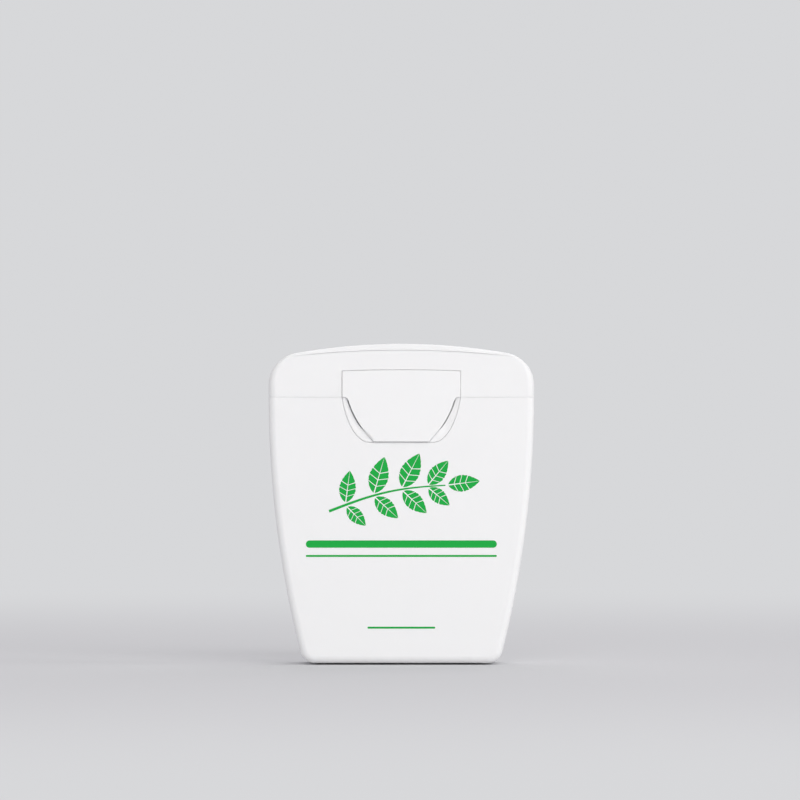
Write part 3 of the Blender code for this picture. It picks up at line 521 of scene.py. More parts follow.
def tabOutline():
    # Panel above the seam, a small inner corner at the seam, then the tab's own curve. With it goes the
    # width of the front edge's rounding, which swells toward the lower corners and is small on the end.
    seam, small = case["seam"], tab["shoulder"]
    level = seam + case["seamGap"] / 2
    arch, curve = panelTop(0), tabCurve()
    heights = np.linspace(arch[-1, 1], level, 8)[1:]
    side = np.stack([np.full(len(heights), panelHalf), heights], 1)
    corner = arcRun((curve[0, 0] + small, level - small), small, math.pi / 2, math.pi, 6)[0]
    below = curve[curve[:, 1] < level - small - 0.00005]  # no point too close to the corner's last
    widths = np.linspace(tab["endWidth"] / 2, 0, 9)[1:]
    end = np.stack([widths, np.full(len(widths), seam - tab["length"])], 1)
    right = np.vstack([arch, side, corner, below, end])
    share = np.clip((seam - right[:, 1]) / tab["length"], 0, 1)
    start, over, fall = tab["swell"]
    swell = smoothStep(np.clip((share - start) / over, 0, 1) * np.clip((1 - share) / fall, 0, 1))
    edges = tab["edge"] + (tab["cornerEdge"] - tab["edge"]) * swell
    return np.vstack([right, right[-2:0:-1] * (-1, 1)]), np.r_[edges, edges[-2:0:-1]]


def tabPiece():
    # The outline's front leans out toward the lower end, and its front edge is a quarter of an ellipse.
    outline, edges = tabOutline()
    down = case["seam"] + tab["panelHeight"] - outline[:, 1]
    lean = tab["panelProud"] + (tab["endProud"] - tab["panelProud"]) * down / (
        tab["panelHeight"] + tab["length"])
    rows = [np.insert(outline, 1, caseFront + tab["thickness"], axis=1)]
    for turn in np.linspace(0, math.pi / 2, 6):
        loop = offsetLoop(outline, edges * (1 - math.cos(turn)))
        rows.append(np.insert(loop, 1, caseFront - lean + edges * (1 - math.sin(turn)), axis=1))
    return loftPiece("tabForm", rows)


def beadPiece(depth, drop, outward):
    # A rod across the tab's back or the pocket's floor, sunk in it so that a low bead stands proud.
    turn = np.linspace(0, 2 * math.pi, 28, endpoint=False)
    ring = np.stack([np.cos(turn), np.sin(turn)], 1) * bead["radius"]
    ring = ring + (depth + outward * (bead["proud"] - bead["radius"]), case["seam"] - drop)
    return loftPiece("bead", [np.insert(ring, 0, side * bead["length"] / 2, axis=1) for side in (-1, 1)])


# Materials

def setInputs(tree, node, values):
    # Links an input to the output that is given for it, or else writes the value; a colour gets its alpha.
    for name, value in values.items():
        socket = node.inputs[name]
        if isinstance(value, bpy.types.NodeSocket):
            tree.links.new(value, socket)
        elif socket.type == "RGBA":
            socket.default_value = (*value, 1)
        else:
            socket.default_value = value


def addNode(tree, kind, inputs, **options):
    # The options come first, because they decide which inputs the node has.
    node = tree.nodes.new(kind)
    for name, choice in options.items():
        setattr(node, name, choice)
    setInputs(tree, node, inputs)
    return node


def mathNode(tree, operation, *values):
    # The operation on up to three numbers or outputs.
    return addNode(tree, "ShaderNodeMath", dict(enumerate(values)), operation=operation).outputs["Value"]


def mostOf(tree, values):
    # The largest of several values.
    most = values[0]
    for value in values[1:]:
        most = mathNode(tree, "MAXIMUM", most, value)
    return most


def noiseNode(tree, vector, scale, detail, rough=0.5, swirl=0.0):
    # A noise between 0 and 1.
    inputs = {"Vector": vector, "Scale": scale, "Detail": detail, "Roughness": rough, "Distortion": swirl}
    return addNode(tree, "ShaderNodeTexNoise", inputs).outputs["Fac"]


def rangeNode(tree, value, taken=(0.0, 1.0), given=(0.0, 1.0), **options):
    # Maps the taken range onto the given one and holds the value at its ends.
    inputs = {"Value": value}
    for part, (least, most) in (("From", taken), ("To", given)):
        inputs[part + " Min"] = least
        inputs[part + " Max"] = most
    return addNode(tree, "ShaderNodeMapRange", inputs, **options).outputs["Result"]


mould = {
    "grain": (2.0, 0.55),  # detail and roughness
    "drift": (3.0, 0.6),  # detail and swirl
    "scratchTilt": (0.4, 0.3),
    "scratchLevels": (0.735, 0.76),
    "scratches": ((0.5, 26.0, 260.0), (1.9, 30.0, 310.0), (2.7, 22.0, 230.0)),  # turn, stretch and scale
}


def mouldGrainGroup():
    # Fine spark-eroded grain, a slow cloudy drift from the flow of the plastic, and stray hairline
    # scratches, which are what three stretched noises have above a high level.
    tree = bpy.data.node_groups.new("mouldGrain", "ShaderNodeTree")
    sockets = tree.interface
    sockets.new_socket(name="Vector", socket_type="NodeSocketVector", in_out="INPUT")
    for name, value in (("Grain Scale", 9000.0), ("Drift Scale", 120.0), ("Scratch Amount", 0.3)):
        made = sockets.new_socket(name=name, socket_type="NodeSocketFloat", in_out="INPUT")
        made.default_value = value
    for name in ("Grain", "Drift", "Scratches"):
        sockets.new_socket(name=name, socket_type="NodeSocketFloat", in_out="OUTPUT")
    given = addNode(tree, "NodeGroupInput", {}).outputs
    marks = []
    for angle, stretch, scale in mould["scratches"]:
        turn = (mould["scratchTilt"][0], angle, mould["scratchTilt"][1])
        inputs = {"Vector": given["Vector"], "Rotation": turn, "Scale": (1.0, 1.0, stretch)}
        turned = addNode(tree, "ShaderNodeMapping", inputs).outputs["Vector"]
        marks.append(rangeNode(tree, noiseNode(tree, turned, scale, 0.0), mould["scratchLevels"]))
    detail, rough = mould["grain"]
    slow, swirl = mould["drift"]
    setInputs(tree, addNode(tree, "NodeGroupOutput", {}), {
        "Grain": noiseNode(tree, given["Vector"], given["Grain Scale"], detail, rough=rough),
        "Drift": noiseNode(tree, given["Vector"], given["Drift Scale"], slow, swirl=swirl),
        "Scratches": mathNode(tree, "MULTIPLY", mostOf(tree, marks), given["Scratch Amount"]),
    })
    return tree


mouldGrain = mouldGrainGroup()


def grainNode(tree, place, look):
    # The shared grain at a finish's own scales.
    inputs = {"Vector": place, "Grain Scale": look["grainScale"], "Drift Scale": look["driftScale"],
              "Scratch Amount": look["scratches"]}
    return addNode(tree, "ShaderNodeGroup", inputs, node_tree=mouldGrain).outputs


def startMaterial(name):
    # A new material, its node tree, and the object's own coordinates for its patterns.
    material = bpy.data.materials.new(name)
    material.use_nodes = True
    tree = material.node_tree
    return material, tree, addNode(tree, "ShaderNodeTexCoord", {}).outputs["Object"]


def setShader(tree, look, tone, rough, height, others):
    # The colour goes from one tone to the other, and the height is a shallow bump.
    colour = {"Factor": tone, "A": look["colour"], "B": look["shade"]}
    bump = {"Height": height, "Strength": look["bump"], "Distance": look["grainDepth"]}
    setInputs(tree, tree.nodes["Principled BSDF"], {
        "Base Color": addNode(tree, "ShaderNodeMix", colour, data_type="RGBA").outputs["Result"],
        "Roughness": rough,
        "Normal": addNode(tree, "ShaderNodeBump", bump).outputs["Normal"],
        **others,
    })


plastic = {
    "ior": 1.49,
    "scatter": (1.0, 0.95, 0.9),
    "drift": (0.3, 0.7),
    "scratchRough": 0.12,
    "scratchDepth": 0.35,
}


def plasticFinish(name, look):
    # Satin moulded plastic: the drift shifts the colour and the gloss a little, scratches are rougher, and
    # the height is the grain less a part of the scratches.
    material, tree, place = startMaterial(name)
    grain = grainNode(tree, place, look)
    gloss = rangeNode(tree, grain["Drift"], plastic["drift"], look["rough"])
    worn = mathNode(tree, "MULTIPLY", grain["Scratches"], plastic["scratchRough"])
    height = mathNode(tree, "MULTIPLY_ADD", grain["Scratches"], -plastic["scratchDepth"], grain["Grain"])
    setShader(tree, look, grain["Drift"], mathNode(tree, "ADD", gloss, worn), height, {
        "IOR": plastic["ior"],
        "Subsurface Weight": look["translucence"],
        "Subsurface Radius": plastic["scatter"],
        "Subsurface Scale": look["scatterDepth"],
    })
    return material


def steelFinish(name, look):
    # Rolled stainless sheet: long fine lines across the clip, soft blotches and a few scratches.
    material, tree, place = startMaterial(name)
    stretch = (1.0, look["lineStretch"], look["lineStretch"])
    drawn = addNode(tree, "ShaderNodeMapping", {"Vector": place, "Scale": stretch}).outputs["Vector"]
    lines = noiseNode(tree, drawn, look["lineScale"], 4.0)
    marks = grainNode(tree, place, look)
    gloss = rangeNode(tree, marks["Drift"], given=look["rough"])
    height = mathNode(tree, "SUBTRACT", lines, marks["Scratches"])
    setShader(tree, look, lines, gloss, height, {"Metallic": 1.0})
    return material


def flossFinish(name, look):
    # Waxed nylon: fine fibres, and patches of wax that shine more.
    material, tree, place = startMaterial(name)
    fibres = noiseNode(tree, place, look["fibreScale"], 5.0)
    wax = noiseNode(tree, place, look["waxScale"], 2.0)
    setShader(tree, look, fibres, rangeNode(tree, wax, look["waxLevels"], look["rough"]), fibres, {
        "Subsurface Weight": look["translucence"],
        "Subsurface Radius": (1.0, 1.0, 1.0),
        "Subsurface Scale": look["scatterDepth"],
    })
    return material


def inkFinish(name, look):
    # Pad-printed ink: a thin film with slightly uneven cover and little gloss.
    material, tree, place = startMaterial(name)
    grain = grainNode(tree, place, look)
    gloss = rangeNode(tree, grain["Drift"], given=look["rough"])
    setShader(tree, look, grain["Grain"], gloss, grain["Grain"], {"Specular IOR Level": look["specular"]})
    return material


casePlastic = plasticFinish("casePlastic", {
    "colour": (0.94, 0.94, 0.938), "shade": (0.925, 0.925, 0.926), "rough": (0.42, 0.50),
    "grainScale": 11000.0, "driftScale": 90.0, "scratches": 0.35,
    "bump": 0.25, "grainDepth": 0.00001, "translucence": 0.12, "scatterDepth": 0.0006,
})
hingePlastic = plasticFinish("hingePlastic", {
    "colour": (0.93, 0.93, 0.935), "shade": (0.89, 0.892, 0.9), "rough": (0.26, 0.42),
    "grainScale": 7000.0, "driftScale": 900.0, "scratches": 0.2,
    "bump": 0.35, "grainDepth": 0.000015, "translucence": 0.3, "scatterDepth": 0.0008,
})
deckPlastic = plasticFinish("deckPlastic", {
    "colour": (0.90, 0.905, 0.912), "shade": (0.87, 0.875, 0.885), "rough": (0.42, 0.54),
    "grainScale": 8000.0, "driftScale": 160.0, "scratches": 0.2,
    "bump": 0.4, "grainDepth": 0.00002, "translucence": 0.1, "scatterDepth": 0.0006,
})
corePlastic = plasticFinish("corePlastic", {
    "colour": (0.84, 0.85, 0.86), "shade": (0.80, 0.81, 0.83), "rough": (0.45, 0.6),
    "grainScale": 6000.0, "driftScale": 200.0, "scratches": 0.5,
    "bump": 0.4, "grainDepth": 0.00002, "translucence": 0.05, "scatterDepth": 0.0005,
})
cutterSteel = steelFinish("cutterSteel", {
    "colour": (0.50, 0.51, 0.53), "shade": (0.63, 0.64, 0.655), "rough": (0.16, 0.34),
    "lineScale": 420.0, "lineStretch": 40.0, "grainScale": 16000.0, "driftScale": 500.0, "scratches": 0.7,
    "bump": 0.35, "grainDepth": 0.00001,
})
waxedFloss = flossFinish("waxedFloss", {
    "colour": (0.80, 0.89, 0.84), "shade": (0.90, 0.95, 0.92), "rough": (0.62, 0.38),
    "fibreScale": 6500.0, "waxScale": 700.0, "waxLevels": (0.35, 0.65),
    "bump": 0.5, "grainDepth": 0.00003, "translucence": 0.15, "scatterDepth": 0.0003,
})
printInk = inkFinish("printInk", {
    "colour": (0.005, 0.385, 0.048), "shade": (0.012, 0.455, 0.068), "rough": (0.3, 0.5), "specular": 0.15,
    "grainScale": 5200.0, "driftScale": 300.0, "scratches": 0.2,
    "bump": 0.2, "grainDepth": 0.00001,
})
print("materials ready")


# Case halves

inside = {
    "lapThickness": 0.0005,
    "lapLength": 0.001,
    "lapInset": 0.00065,
    "lapClearance": 0.00012,
    "lapSlack": 0.00015,
    "lapPast": 0.003,
    "spoolZ": 0.0204,
    "postRadius": 0.004,
    "postBore": 0.0026,
    "spigot": 0.0023,
    "spigotLength": 0.004,
    "spigotTip": 0.0004,
    "flange": 0.0068,
    "fillet": 0.0005,
    "coreHalf": 0.0059,
    "runningGap": 0.0002,
    "lowPin": (0.0044, 0.0037),  # up from the bottom, and in from the side
    "highPin": (0.0076, 0.0042),  # down from the seam, and in from the side
    "pinRadius": 0.0009,
    "pinLength": 0.0024,
    "pinSink": 0.001,
    "pinTip": 0.0002,
    "socketBore": 0.00105,
    "socketRadius": 0.0019,
    "boreStart": -0.0015,
    "ribThickness": 0.001,
    "ribReach": 0.0022,
    "ribHeight": 0.006,
    "ribSetback": 0.0045,
    "ribGap": 0.0002,
    "deckDrop": 0.0016,
    "deckThickness": 0.0012,
}
strap = {
    "across": 0.013,
    "width": 0.0014,
    "length": 0.0052,
    "flat": 0.0024,
    "thickness": 0.00025,
    "slack": 0.0001,
    "edge": 0.00008,
}
hinge = {
    "width": 0.026,
    "height": 0.0016,
    "thickness": 0.0003,
    "thin": 0.00018,
    "slack": 0.00002,
    "bend": 0.00045,
}
deckTop = case["seam"] - inside["deckDrop"]
deckUnder = deckTop - inside["deckThickness"]
spoolCentre = (0, 0, inside["spoolZ"])


def pinPlaces():
    # Four places in from the side's arc, two above the bottom and two below the seam.
    rise, lowIn = inside["lowPin"]
    drop, highIn = inside["highPin"]
    places = []
    for height, setback in ((case["bottom"] + rise, lowIn), (case["seam"] - drop, highIn)):
        across = sideAt(height, 0) - setback
        places += [(-across, 0, height), (across, 0, height)]
    return places


def ribTool(side, facing):
    # A rib out of the side wall for the deck to rest on, its lower edge leaning back to the wall.
    root = case["halfWidth"] - case["wall"] / 2
    reach, top = inside["ribReach"], deckUnder - inside["ribGap"]
    tip = case["halfWidth"] - case["wall"] - reach
    outline = np.array([(root, top), (tip, top), (tip, top - reach), (root, top - inside["ribHeight"])])
    near = facing * inside["ribSetback"] - inside["ribThickness"] / 2
    return slabPiece("rib", outline * (side, 1), near, near + inside["ribThickness"])


def strapNotch(side):
    # Room for a strap through the bottom wall, with slack all around it.
    half = strap["width"] / 2 + strap["slack"]
    long = strap["length"] / 2 + strap["slack"]
    middle = side * strap["across"]
    top = case["bottom"] + strap["thickness"] + 2 * strap["slack"]
    return blockPiece("notch", (middle - half, -long, -case["overrun"]), (middle + half, long, top))


def hingeRebate():
    # Room for the web in the back wall, across the seam.
    half = hinge["width"] / 2 + hinge["slack"]
    tall = hinge["height"] / 2 + hinge["slack"]
    deep = case["halfDepth"] - hinge["thickness"] - hinge["slack"]
    low, high = (-half, deep, case["seam"] - tall), (half, case["outside"], case["seam"] + tall)
    return blockPiece("rebate", low, high)


def ribsAndNotches(facing):
    # What both halves have on their two sides.
    steps = [("UNION", ribTool(side, facing)) for side in (-1, 1)]
    return steps + [("DIFFERENCE", strapNotch(side)) for side in (-1, 1)]


def makeFrontShell():
    # The master form's front half less the cavity, the lap's rebate, the scoop's line and the pocket, which
    # has a backing behind it. A turned spigot stands on the wall, and four pins stand on their feet.
    shell = loftPiece("frontShell", caseLoops(0, -halfDepths()[::-1], part=-case["partingGap"] / 2))
    lap = -inside["lapLength"] - inside["lapSlack"]
    rebate = caseLoops(inside["lapInset"] - inside["lapClearance"], [lap, inside["lapPast"]], edge=0)
    rim = scoopCurve(case["wall"])
    top = case["seam"] - case["seamGap"] / 2
    rim = np.vstack([(rim[0, 0], top), rim[rim[:, 1] < top - 0.0001]])  # no point too close to the first
    front = -inside["coreHalf"] - inside["runningGap"]
    end = -inside["coreHalf"] + inside["spigotLength"]
    radius, tip = inside["spigot"], inside["spigotTip"]
    flange, fillet = inside["flange"], inside["fillet"]
    spigot = [(0, end), (radius - tip, end), (radius, end - tip), (radius, front), (flange - fillet, front),
              (flange, front - fillet), (flange, -wallMiddle), (0, -wallMiddle)]
    steps = [
        ("DIFFERENCE", cavityPiece()),
        ("INTERSECT", seamTool(False)),
        ("DIFFERENCE", loftPiece("rebate", rebate)),
        ("UNION", slabPiece("backing", bothSides(rim), -wallMiddle, pocketBack)),
        ("DIFFERENCE", lineTool("scoopLine", scoopLine)),
        ("DIFFERENCE", pocketPiece()),
        ("UNION", beadPiece(caseFront + pocket["depth"], bead["pocketDrop"], -1)),
        ("UNION", turnedPiece("spigot", spigot, spoolCentre, "Y")),
    ]
    for place in pinPlaces():
        steps.append(("UNION", rodPiece("foot", place, inside["socketRadius"], -wallMiddle, lap)))
        steps.append(("UNION", rodPiece("pin", place, inside["pinRadius"], lap - inside["pinSink"],
                                        inside["pinLength"], tip=inside["pinTip"])))
    carve(shell, steps + ribsAndNotches(-1))
    dressPiece(shell, "case", ["front_shell"], casePlastic)


def makeBackShell():
    # The master form's back half less the cavity, with the lap's tongue, which is the form at one inset
    # less that at a deeper one, the turned hollow post, four bored sockets and the hinge's rebate.
    shell = loftPiece("backShell", caseLoops(0, halfDepths(), part=case["partingGap"] / 2))
    inset, over = inside["lapInset"], case["overrun"]
    tongue = loftPiece("tongue", caseLoops(inset, [-inside["lapLength"], case["wall"]], edge=0))
    core = loftPiece("tongueCore", caseLoops(inset + inside["lapThickness"], [-over, over], edge=0))
    carve(tongue, [("DIFFERENCE", core), ("INTERSECT", seamTool(False))])
    end, back = -inside["coreHalf"], inside["coreHalf"] + inside["runningGap"]
    radius, bore = inside["postRadius"], inside["postBore"]
    flange, fillet = inside["flange"], inside["fillet"]
    post = [(0, innerDepth), (bore, innerDepth), (bore, end), (radius, end), (radius, back),
            (flange - fillet, back), (flange, back + fillet), (flange, wallMiddle), (0, wallMiddle)]
    steps = [
        ("DIFFERENCE", cavityPiece()),
        ("INTERSECT", seamTool(False)),
        ("UNION", tongue),
        ("UNION", turnedPiece("post", post, spoolCentre, "Y")),
    ]
    deep = inside["pinLength"] + case["wall"]
    for operation, width, near, far in (("UNION", inside["socketRadius"], inside["lapSlack"], wallMiddle),
                                        ("DIFFERENCE", inside["socketBore"], inside["boreStart"], deep)):
        steps += [(operation, rodPiece("socket", place, width, near, far)) for place in pinPlaces()]
    carve(shell, steps + ribsAndNotches(1) + [("DIFFERENCE", hingeRebate())])
    dressPiece(shell, "case", ["back_shell"], casePlastic)


makeFrontShell()
makeBackShell()


# Lid with its thumb tab

lug = {
    "clearance": 0.00085,
    "setback": 0.0038,
    "thickness": 0.0009,
    "drop": 0.0011,
    "rise": 0.0024,
    "gap": 0.0002,
    "corner": 0.0003,
    "edge": 0.00015,
    "rootInset": 0.0009,
    "rootShort": 0.0002,
    "rootLower": 0.0003,
}


def makeLid():
    # The master form above the seam less the cavity and the fine lines, with the tab, its catch bead and
    # two lugs, each joined to the wall by a root.
    depths = throughDepths(endRows(case["halfDepth"], case["edge"]), 17)
    lid = loftPiece("flipLid", caseLoops(0, depths))
    steps = [
        ("DIFFERENCE", cavityPiece()),
        ("DIFFERENCE", creaseLineTool()),
        ("DIFFERENCE", lineTool("panelLine", panelLine)),
        ("INTERSECT", seamTool(True)),
        ("UNION", tabPiece()),
        ("UNION", beadPiece(caseFront + tab["thickness"], bead["tabDrop"], 1)),
    ]
    near = panelHalf + case["wall"] + lug["clearance"]
    far = case["halfWidth"] - case["wall"] - lug["setback"]
    front = -innerDepth + lug["gap"]
    back = front + lug["thickness"]
    seam, inset = case["seam"], lug["rootInset"]
    top = seam + lug["rise"]
    for side in (-1, 1):
        left, right = sorted((side * near, side * far))
        low, high = (left, front, seam - lug["drop"]), (right, back, top)
        steps.append(("UNION", softBlock("lug", low, high, lug["corner"], lug["edge"], 3)))
        low = (left + inset, -wallMiddle, seam + lug["drop"])
        high = (right - inset, back - lug["rootShort"], top - lug["rootLower"])
        steps.append(("UNION", blockPiece("root", low, high)))
    steps.append(("DIFFERENCE", hingeRebate()))
    carve(lid, steps)
    dressPiece(lid, "lid", ["lid"], casePlastic)


makeLid()


# Living hinges

def makeLidHinge():
    # A web across the seam: its thickness follows a cosine of the height, thinnest on the folding line.
    rows, columns = 33, 27
    height = np.linspace(-hinge["height"] / 2, hinge["height"] / 2, rows)
    near = np.cos(np.clip(height / (hinge["height"] / 4), -1, 1) * math.pi / 2) ** 2
    thick = hinge["thickness"] - (hinge["thickness"] - hinge["thin"]) * near
    across = np.linspace(-hinge["width"] / 2, hinge["width"] / 2, columns)
    outer = np.stack(np.broadcast_arrays(across[None, :], np.full((rows, 1), case["halfDepth"]),
                                         case["seam"] + height[:, None]), -1)
    inner = outer - np.stack([np.zeros(rows), thick, np.zeros(rows)], 1)[:, None, :]
    web = loftPiece("lidHinge", np.concatenate([outer, inner[:, ::-1]], 1))
    dressPiece(web, None, ["lid_hinge"], hingePlastic, sharp=50)
    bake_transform(web)


def makeStrap(side, name, node):
    # A folded strap: its lower line falls from the notch to the floor along half a cosine, and back. The
    # sides draw in along a quarter circle at each edge.
    rest = case["bottom"] + strap["slack"]
    ramp = (strap["length"] - strap["flat"]) / 2
    toe = ramp / 4
    share = np.linspace(0, 1, 15)
    y = np.r_[strap["length"] / 2, strap["length"] / 2 - toe - (ramp - toe) * share]
    z = np.r_[rest, rest - rest * (1 - np.cos(math.pi * share)) / 2]
    line = np.stack([np.r_[y, -y[::-1]], np.r_[z, z[::-1]]], 1)
    outline = np.vstack([line, (line + (0, strap["thickness"]))[::-1]])
    half, edge = strap["width"] / 2, strap["edge"]
    offsets = [(half - edge + edge * math.sin(turn), edge - edge * math.cos(turn))
               for turn in np.linspace(0, math.pi / 2, 4)]
    places = [(-across, inset) for across, inset in offsets[::-1]] + offsets
    rows = [np.insert(offsetLoop(outline, inset), 0, side * strap["across"] + across, axis=1)
            for across, inset in places]
    dressPiece(loftPiece(name, rows), "case", [node], hingePlastic, sharp=50)


makeLidHinge()
makeStrap(-1, "bottomStrapLeft", "bottom_hinge_left")
makeStrap(1, "bottomStrapRight", "bottom_hinge_right")


# Deck with the cutter's seat, and the cutter

deck = {
    "corner": 0.0005,
    "edge": 0.0002,
    "seatWidth": 0.017,
    "seatDepth": 0.0078,
    "seatTop": deckTop + 0.0044,
    "seatRoot": 0.0004,
    "seatCorner": 0.0009,
    "seatEdge": 0.0005,
    "hollowWall": 0.0012,
    "hollowCorner": 0.0005,
    "hollowEdge": 0.0004,
    "outletX": -0.0056,
    "outletRadius": 0.0008,
    "mouth": 0.0003,
    "rimRadius": 0.0016,
    "rimHeight": 0.0004,
    "rimLap": 0.0002,
    "rimRoot": 0.0006,
    "slip": 0.0002,
}
clip = {
    "across": 0.0018,
    "width": 0.0082,
    "leg": 0.0026,
    "thickness": 0.0003,
    "bend": 0.00015,
    "gap": 0.00005,
    "edge": 0.00003,
    "toothWidth": 0.0034,
    "toothLength": 0.0044,
    "toothPoint": 0.0024,
    "toothRoot": 0.0021,
    "toothAngle": math.radians(28),
    "window": 0.0003,
    "windowCut": 0.002,
}


def makeDeck():
    # A plate with a raised hollow seat, a turned rim around the outlet, grooves for the clip's legs and a
    # notch that clears the pocket's backing.
    slip, over = deck["slip"], case["overrun"]
    wide, deep = case["halfWidth"] - case["wall"] - slip, innerDepth - slip
    plate = softBlock("cutterDeck", (-wide, -deep, deckUnder), (wide, deep, deckTop),
                      deck["corner"], deck["edge"], 4)
    half, near, top = deck["seatWidth"] / 2, deck["seatDepth"] / 2, deck["seatTop"]
    wall = deck["hollowWall"]
    hole, mouth, rim, rise = deck["outletRadius"], deck["mouth"], deck["rimRadius"], deck["rimHeight"]
    collar, root = rim + deck["rimLap"], -deck["rimRoot"]
    lip = arcRun((rim - rise, 0), rise, 0, math.pi / 2, 6)[0]
    inner = arcRun((hole + mouth, rise - mouth), mouth, math.pi / 2, math.pi, 6)[0]
    ring = np.vstack([(collar, root), (collar, 0), lip, inner, (hole, root)])
    outlet = (deck["outletX"], 0, top)
    notch = panelHalf + case["wall"] + slip
    low, high = (-half + wall, -near + wall, deckUnder - over), (half - wall, near - wall, top - wall)
    steps = [
        ("UNION", softBlock("seat", (-half, -near, deckUnder + deck["seatRoot"]), (half, near, top),
                            deck["seatCorner"], deck["seatEdge"])),
        ("DIFFERENCE", softBlock("hollow", low, high, deck["hollowCorner"], deck["hollowEdge"])),
        ("DIFFERENCE", rodPiece("hole", outlet, rim - deck["rimLap"], -over, over, axis="Z")),
        ("UNION", turnedPiece("rim", ring, outlet, "Z")),
        ("DIFFERENCE", blockPiece("notch", (-notch, -case["outside"], deckUnder - over),
                                  (notch, pocketBack + slip, deckTop + over))),
    ]
    left, right = [clip["across"] + side * (clip["width"] / 2 + slip / 2) for side in (-1, 1)]
    foot = top - clip["leg"] - slip
    for facing in (-1, 1):
        first, last = sorted((facing * (near - clip["thickness"] - clip["gap"]), facing * (near + over)))
        steps.append(("DIFFERENCE", blockPiece("groove", (left, first, foot), (right, last, top + over))))
    carve(plate, steps)
    dressPiece(plate, "case", ["cutter_deck"], deckPlastic)


def toothLoop(grow, back):
    # The tooth seen from above, pointing forward from its root, grown by a margin.
    half, long = clip["toothWidth"] / 2 + grow, clip["toothLength"]
    shoulder = long - clip["toothPoint"]
    return np.array([(half, back), (half, -shoulder), (0, -long - grow), (-half, -shoulder), (-half, back)])


def makeClip():
    # The sheet's cross-section, from the end of one leg over the seat to the other, carried across; the
    # tooth is lanced out of the top and bent up about its root.
    top, thick, bend = deck["seatTop"] + clip["gap"], clip["thickness"], clip["bend"]
    leg, foot = deck["seatDepth"] / 2 - thick, deck["seatTop"] - clip["leg"]
    centre = (leg - bend, top - bend)
    inner, outer = [np.vstack([(leg + grow, foot), arcRun(centre, bend + grow, 0, math.pi / 2, 8)[0]])
                    for grow in (0, thick)]
    section = np.vstack([outer, outer[::-1] * (-1, 1), inner * (-1, 1), inner[::-1]])
    across, half, cut = clip["across"], clip["width"] / 2, clip["windowCut"]
    rows = [np.insert(section, 0, across + side * half, axis=1) for side in (-1, 1)]
    sheet = loftPiece("cutterClip", rows)
    window = toothLoop(clip["window"], 0) + (across, clip["toothRoot"])
    opening = loftPiece("window", [np.insert(window, 2, z, axis=1) for z in (top - cut, top + cut)])
    loop = toothLoop(0, thick / 2)
    rise, run = math.sin(clip["toothAngle"]), math.cos(clip["toothAngle"])
    rows = []
    for level in (0, thick):
        y = loop[:, 1] * run + level * rise + clip["toothRoot"]
        z = -loop[:, 1] * rise + level * run + top + thick * rise
        rows.append(np.stack([loop[:, 0] + across, y, z], 1))
    carve(sheet, [("DIFFERENCE", opening), ("UNION", loftPiece("tooth", rows))], bevel=clip["edge"])
    dressPiece(sheet, "case", ["cutter"], cutterSteel)


makeDeck()
makeClip()


# Spool, winding and the strand that leaves it

spool = {
    "core": 0.0065,
    "bore": 0.0042,
    "chamfer": 0.0004,
    "winding": 0.0174,
    "windingHalf": 0.0056,
    "round": 0.0007,
    "gap": 0.00005,
    "strands": 26,
    "lead": 9,
    "relief": 0.00016,
}
floss = {
    "radius": 0.00024,
    "gap": 0.00007,
    "plies": 4,
    "twist": 2200.0,
    "relief": 0.22,
    "slack": 0.00001,
    "wrap": math.radians(6),
    "standOff": 0.0008,
    "reach": 0.0028,
    "sway": 0.0014,
    "tail": ((0.54, 0.5, 0.33), (0.75, 0.8, 0.7), (1.0, 1.0, 1.0)),  # shares of reach, sway and the drop
}


def makeSpoolCore():
    # A turned tube with both outer edges chamfered.
    radius, bore, cut, half = spool["core"], spool["bore"], spool["chamfer"], inside["coreHalf"]
    profile = [(radius, -half + cut), (radius, half - cut), (radius - cut, half), (bore, half),
               (bore, -half), (radius - cut, -half)]
    core = turnedPiece("spoolCore", profile, spoolCentre, "Y", 128)
    dressPiece(core, "spool", ["spool_core"], corePlastic)


def makeWinding():
    # A cross-wound package: the radius at an angle and a depth is raised where either of two opposite
    # helices of strands runs, so a diamond lattice shows; the shoulders are rounded and the ends flat.
    around, along = 480, 72
    half, small = spool["windingHalf"], spool["round"]
    angle = np.linspace(0, 2 * math.pi, around, endpoint=False)[:, None]
    depth = np.linspace(-half, half, along)[None, :]
    reach = np.clip((np.abs(depth) - half + small) / small, 0, 1)
    radius = spool["winding"] - small + small * np.sqrt(1 - reach ** 2 * 0.999)  # never quite upright
    slope = spool["lead"] * depth / half
    first = np.abs(np.sin(spool["strands"] * angle / 2 + slope * 2))
    second = np.abs(np.sin(spool["strands"] * angle / 2 - slope * 2))
    radius = radius - spool["relief"] * (1 - np.maximum(first, second))
    hole = np.full((around, 2), spool["core"] + spool["gap"])
    radius = np.hstack([radius, hole])
    depth = np.broadcast_to(np.r_[depth[0], half, -half], radius.shape)
    points = np.stack([radius * np.cos(angle), depth, radius * np.sin(angle) + inside["spoolZ"]], -1)
    winding = ringPiece("flossWinding", points)
    dressPiece(winding, "spool", ["floss_winding"], waxedFloss, sharp=60)


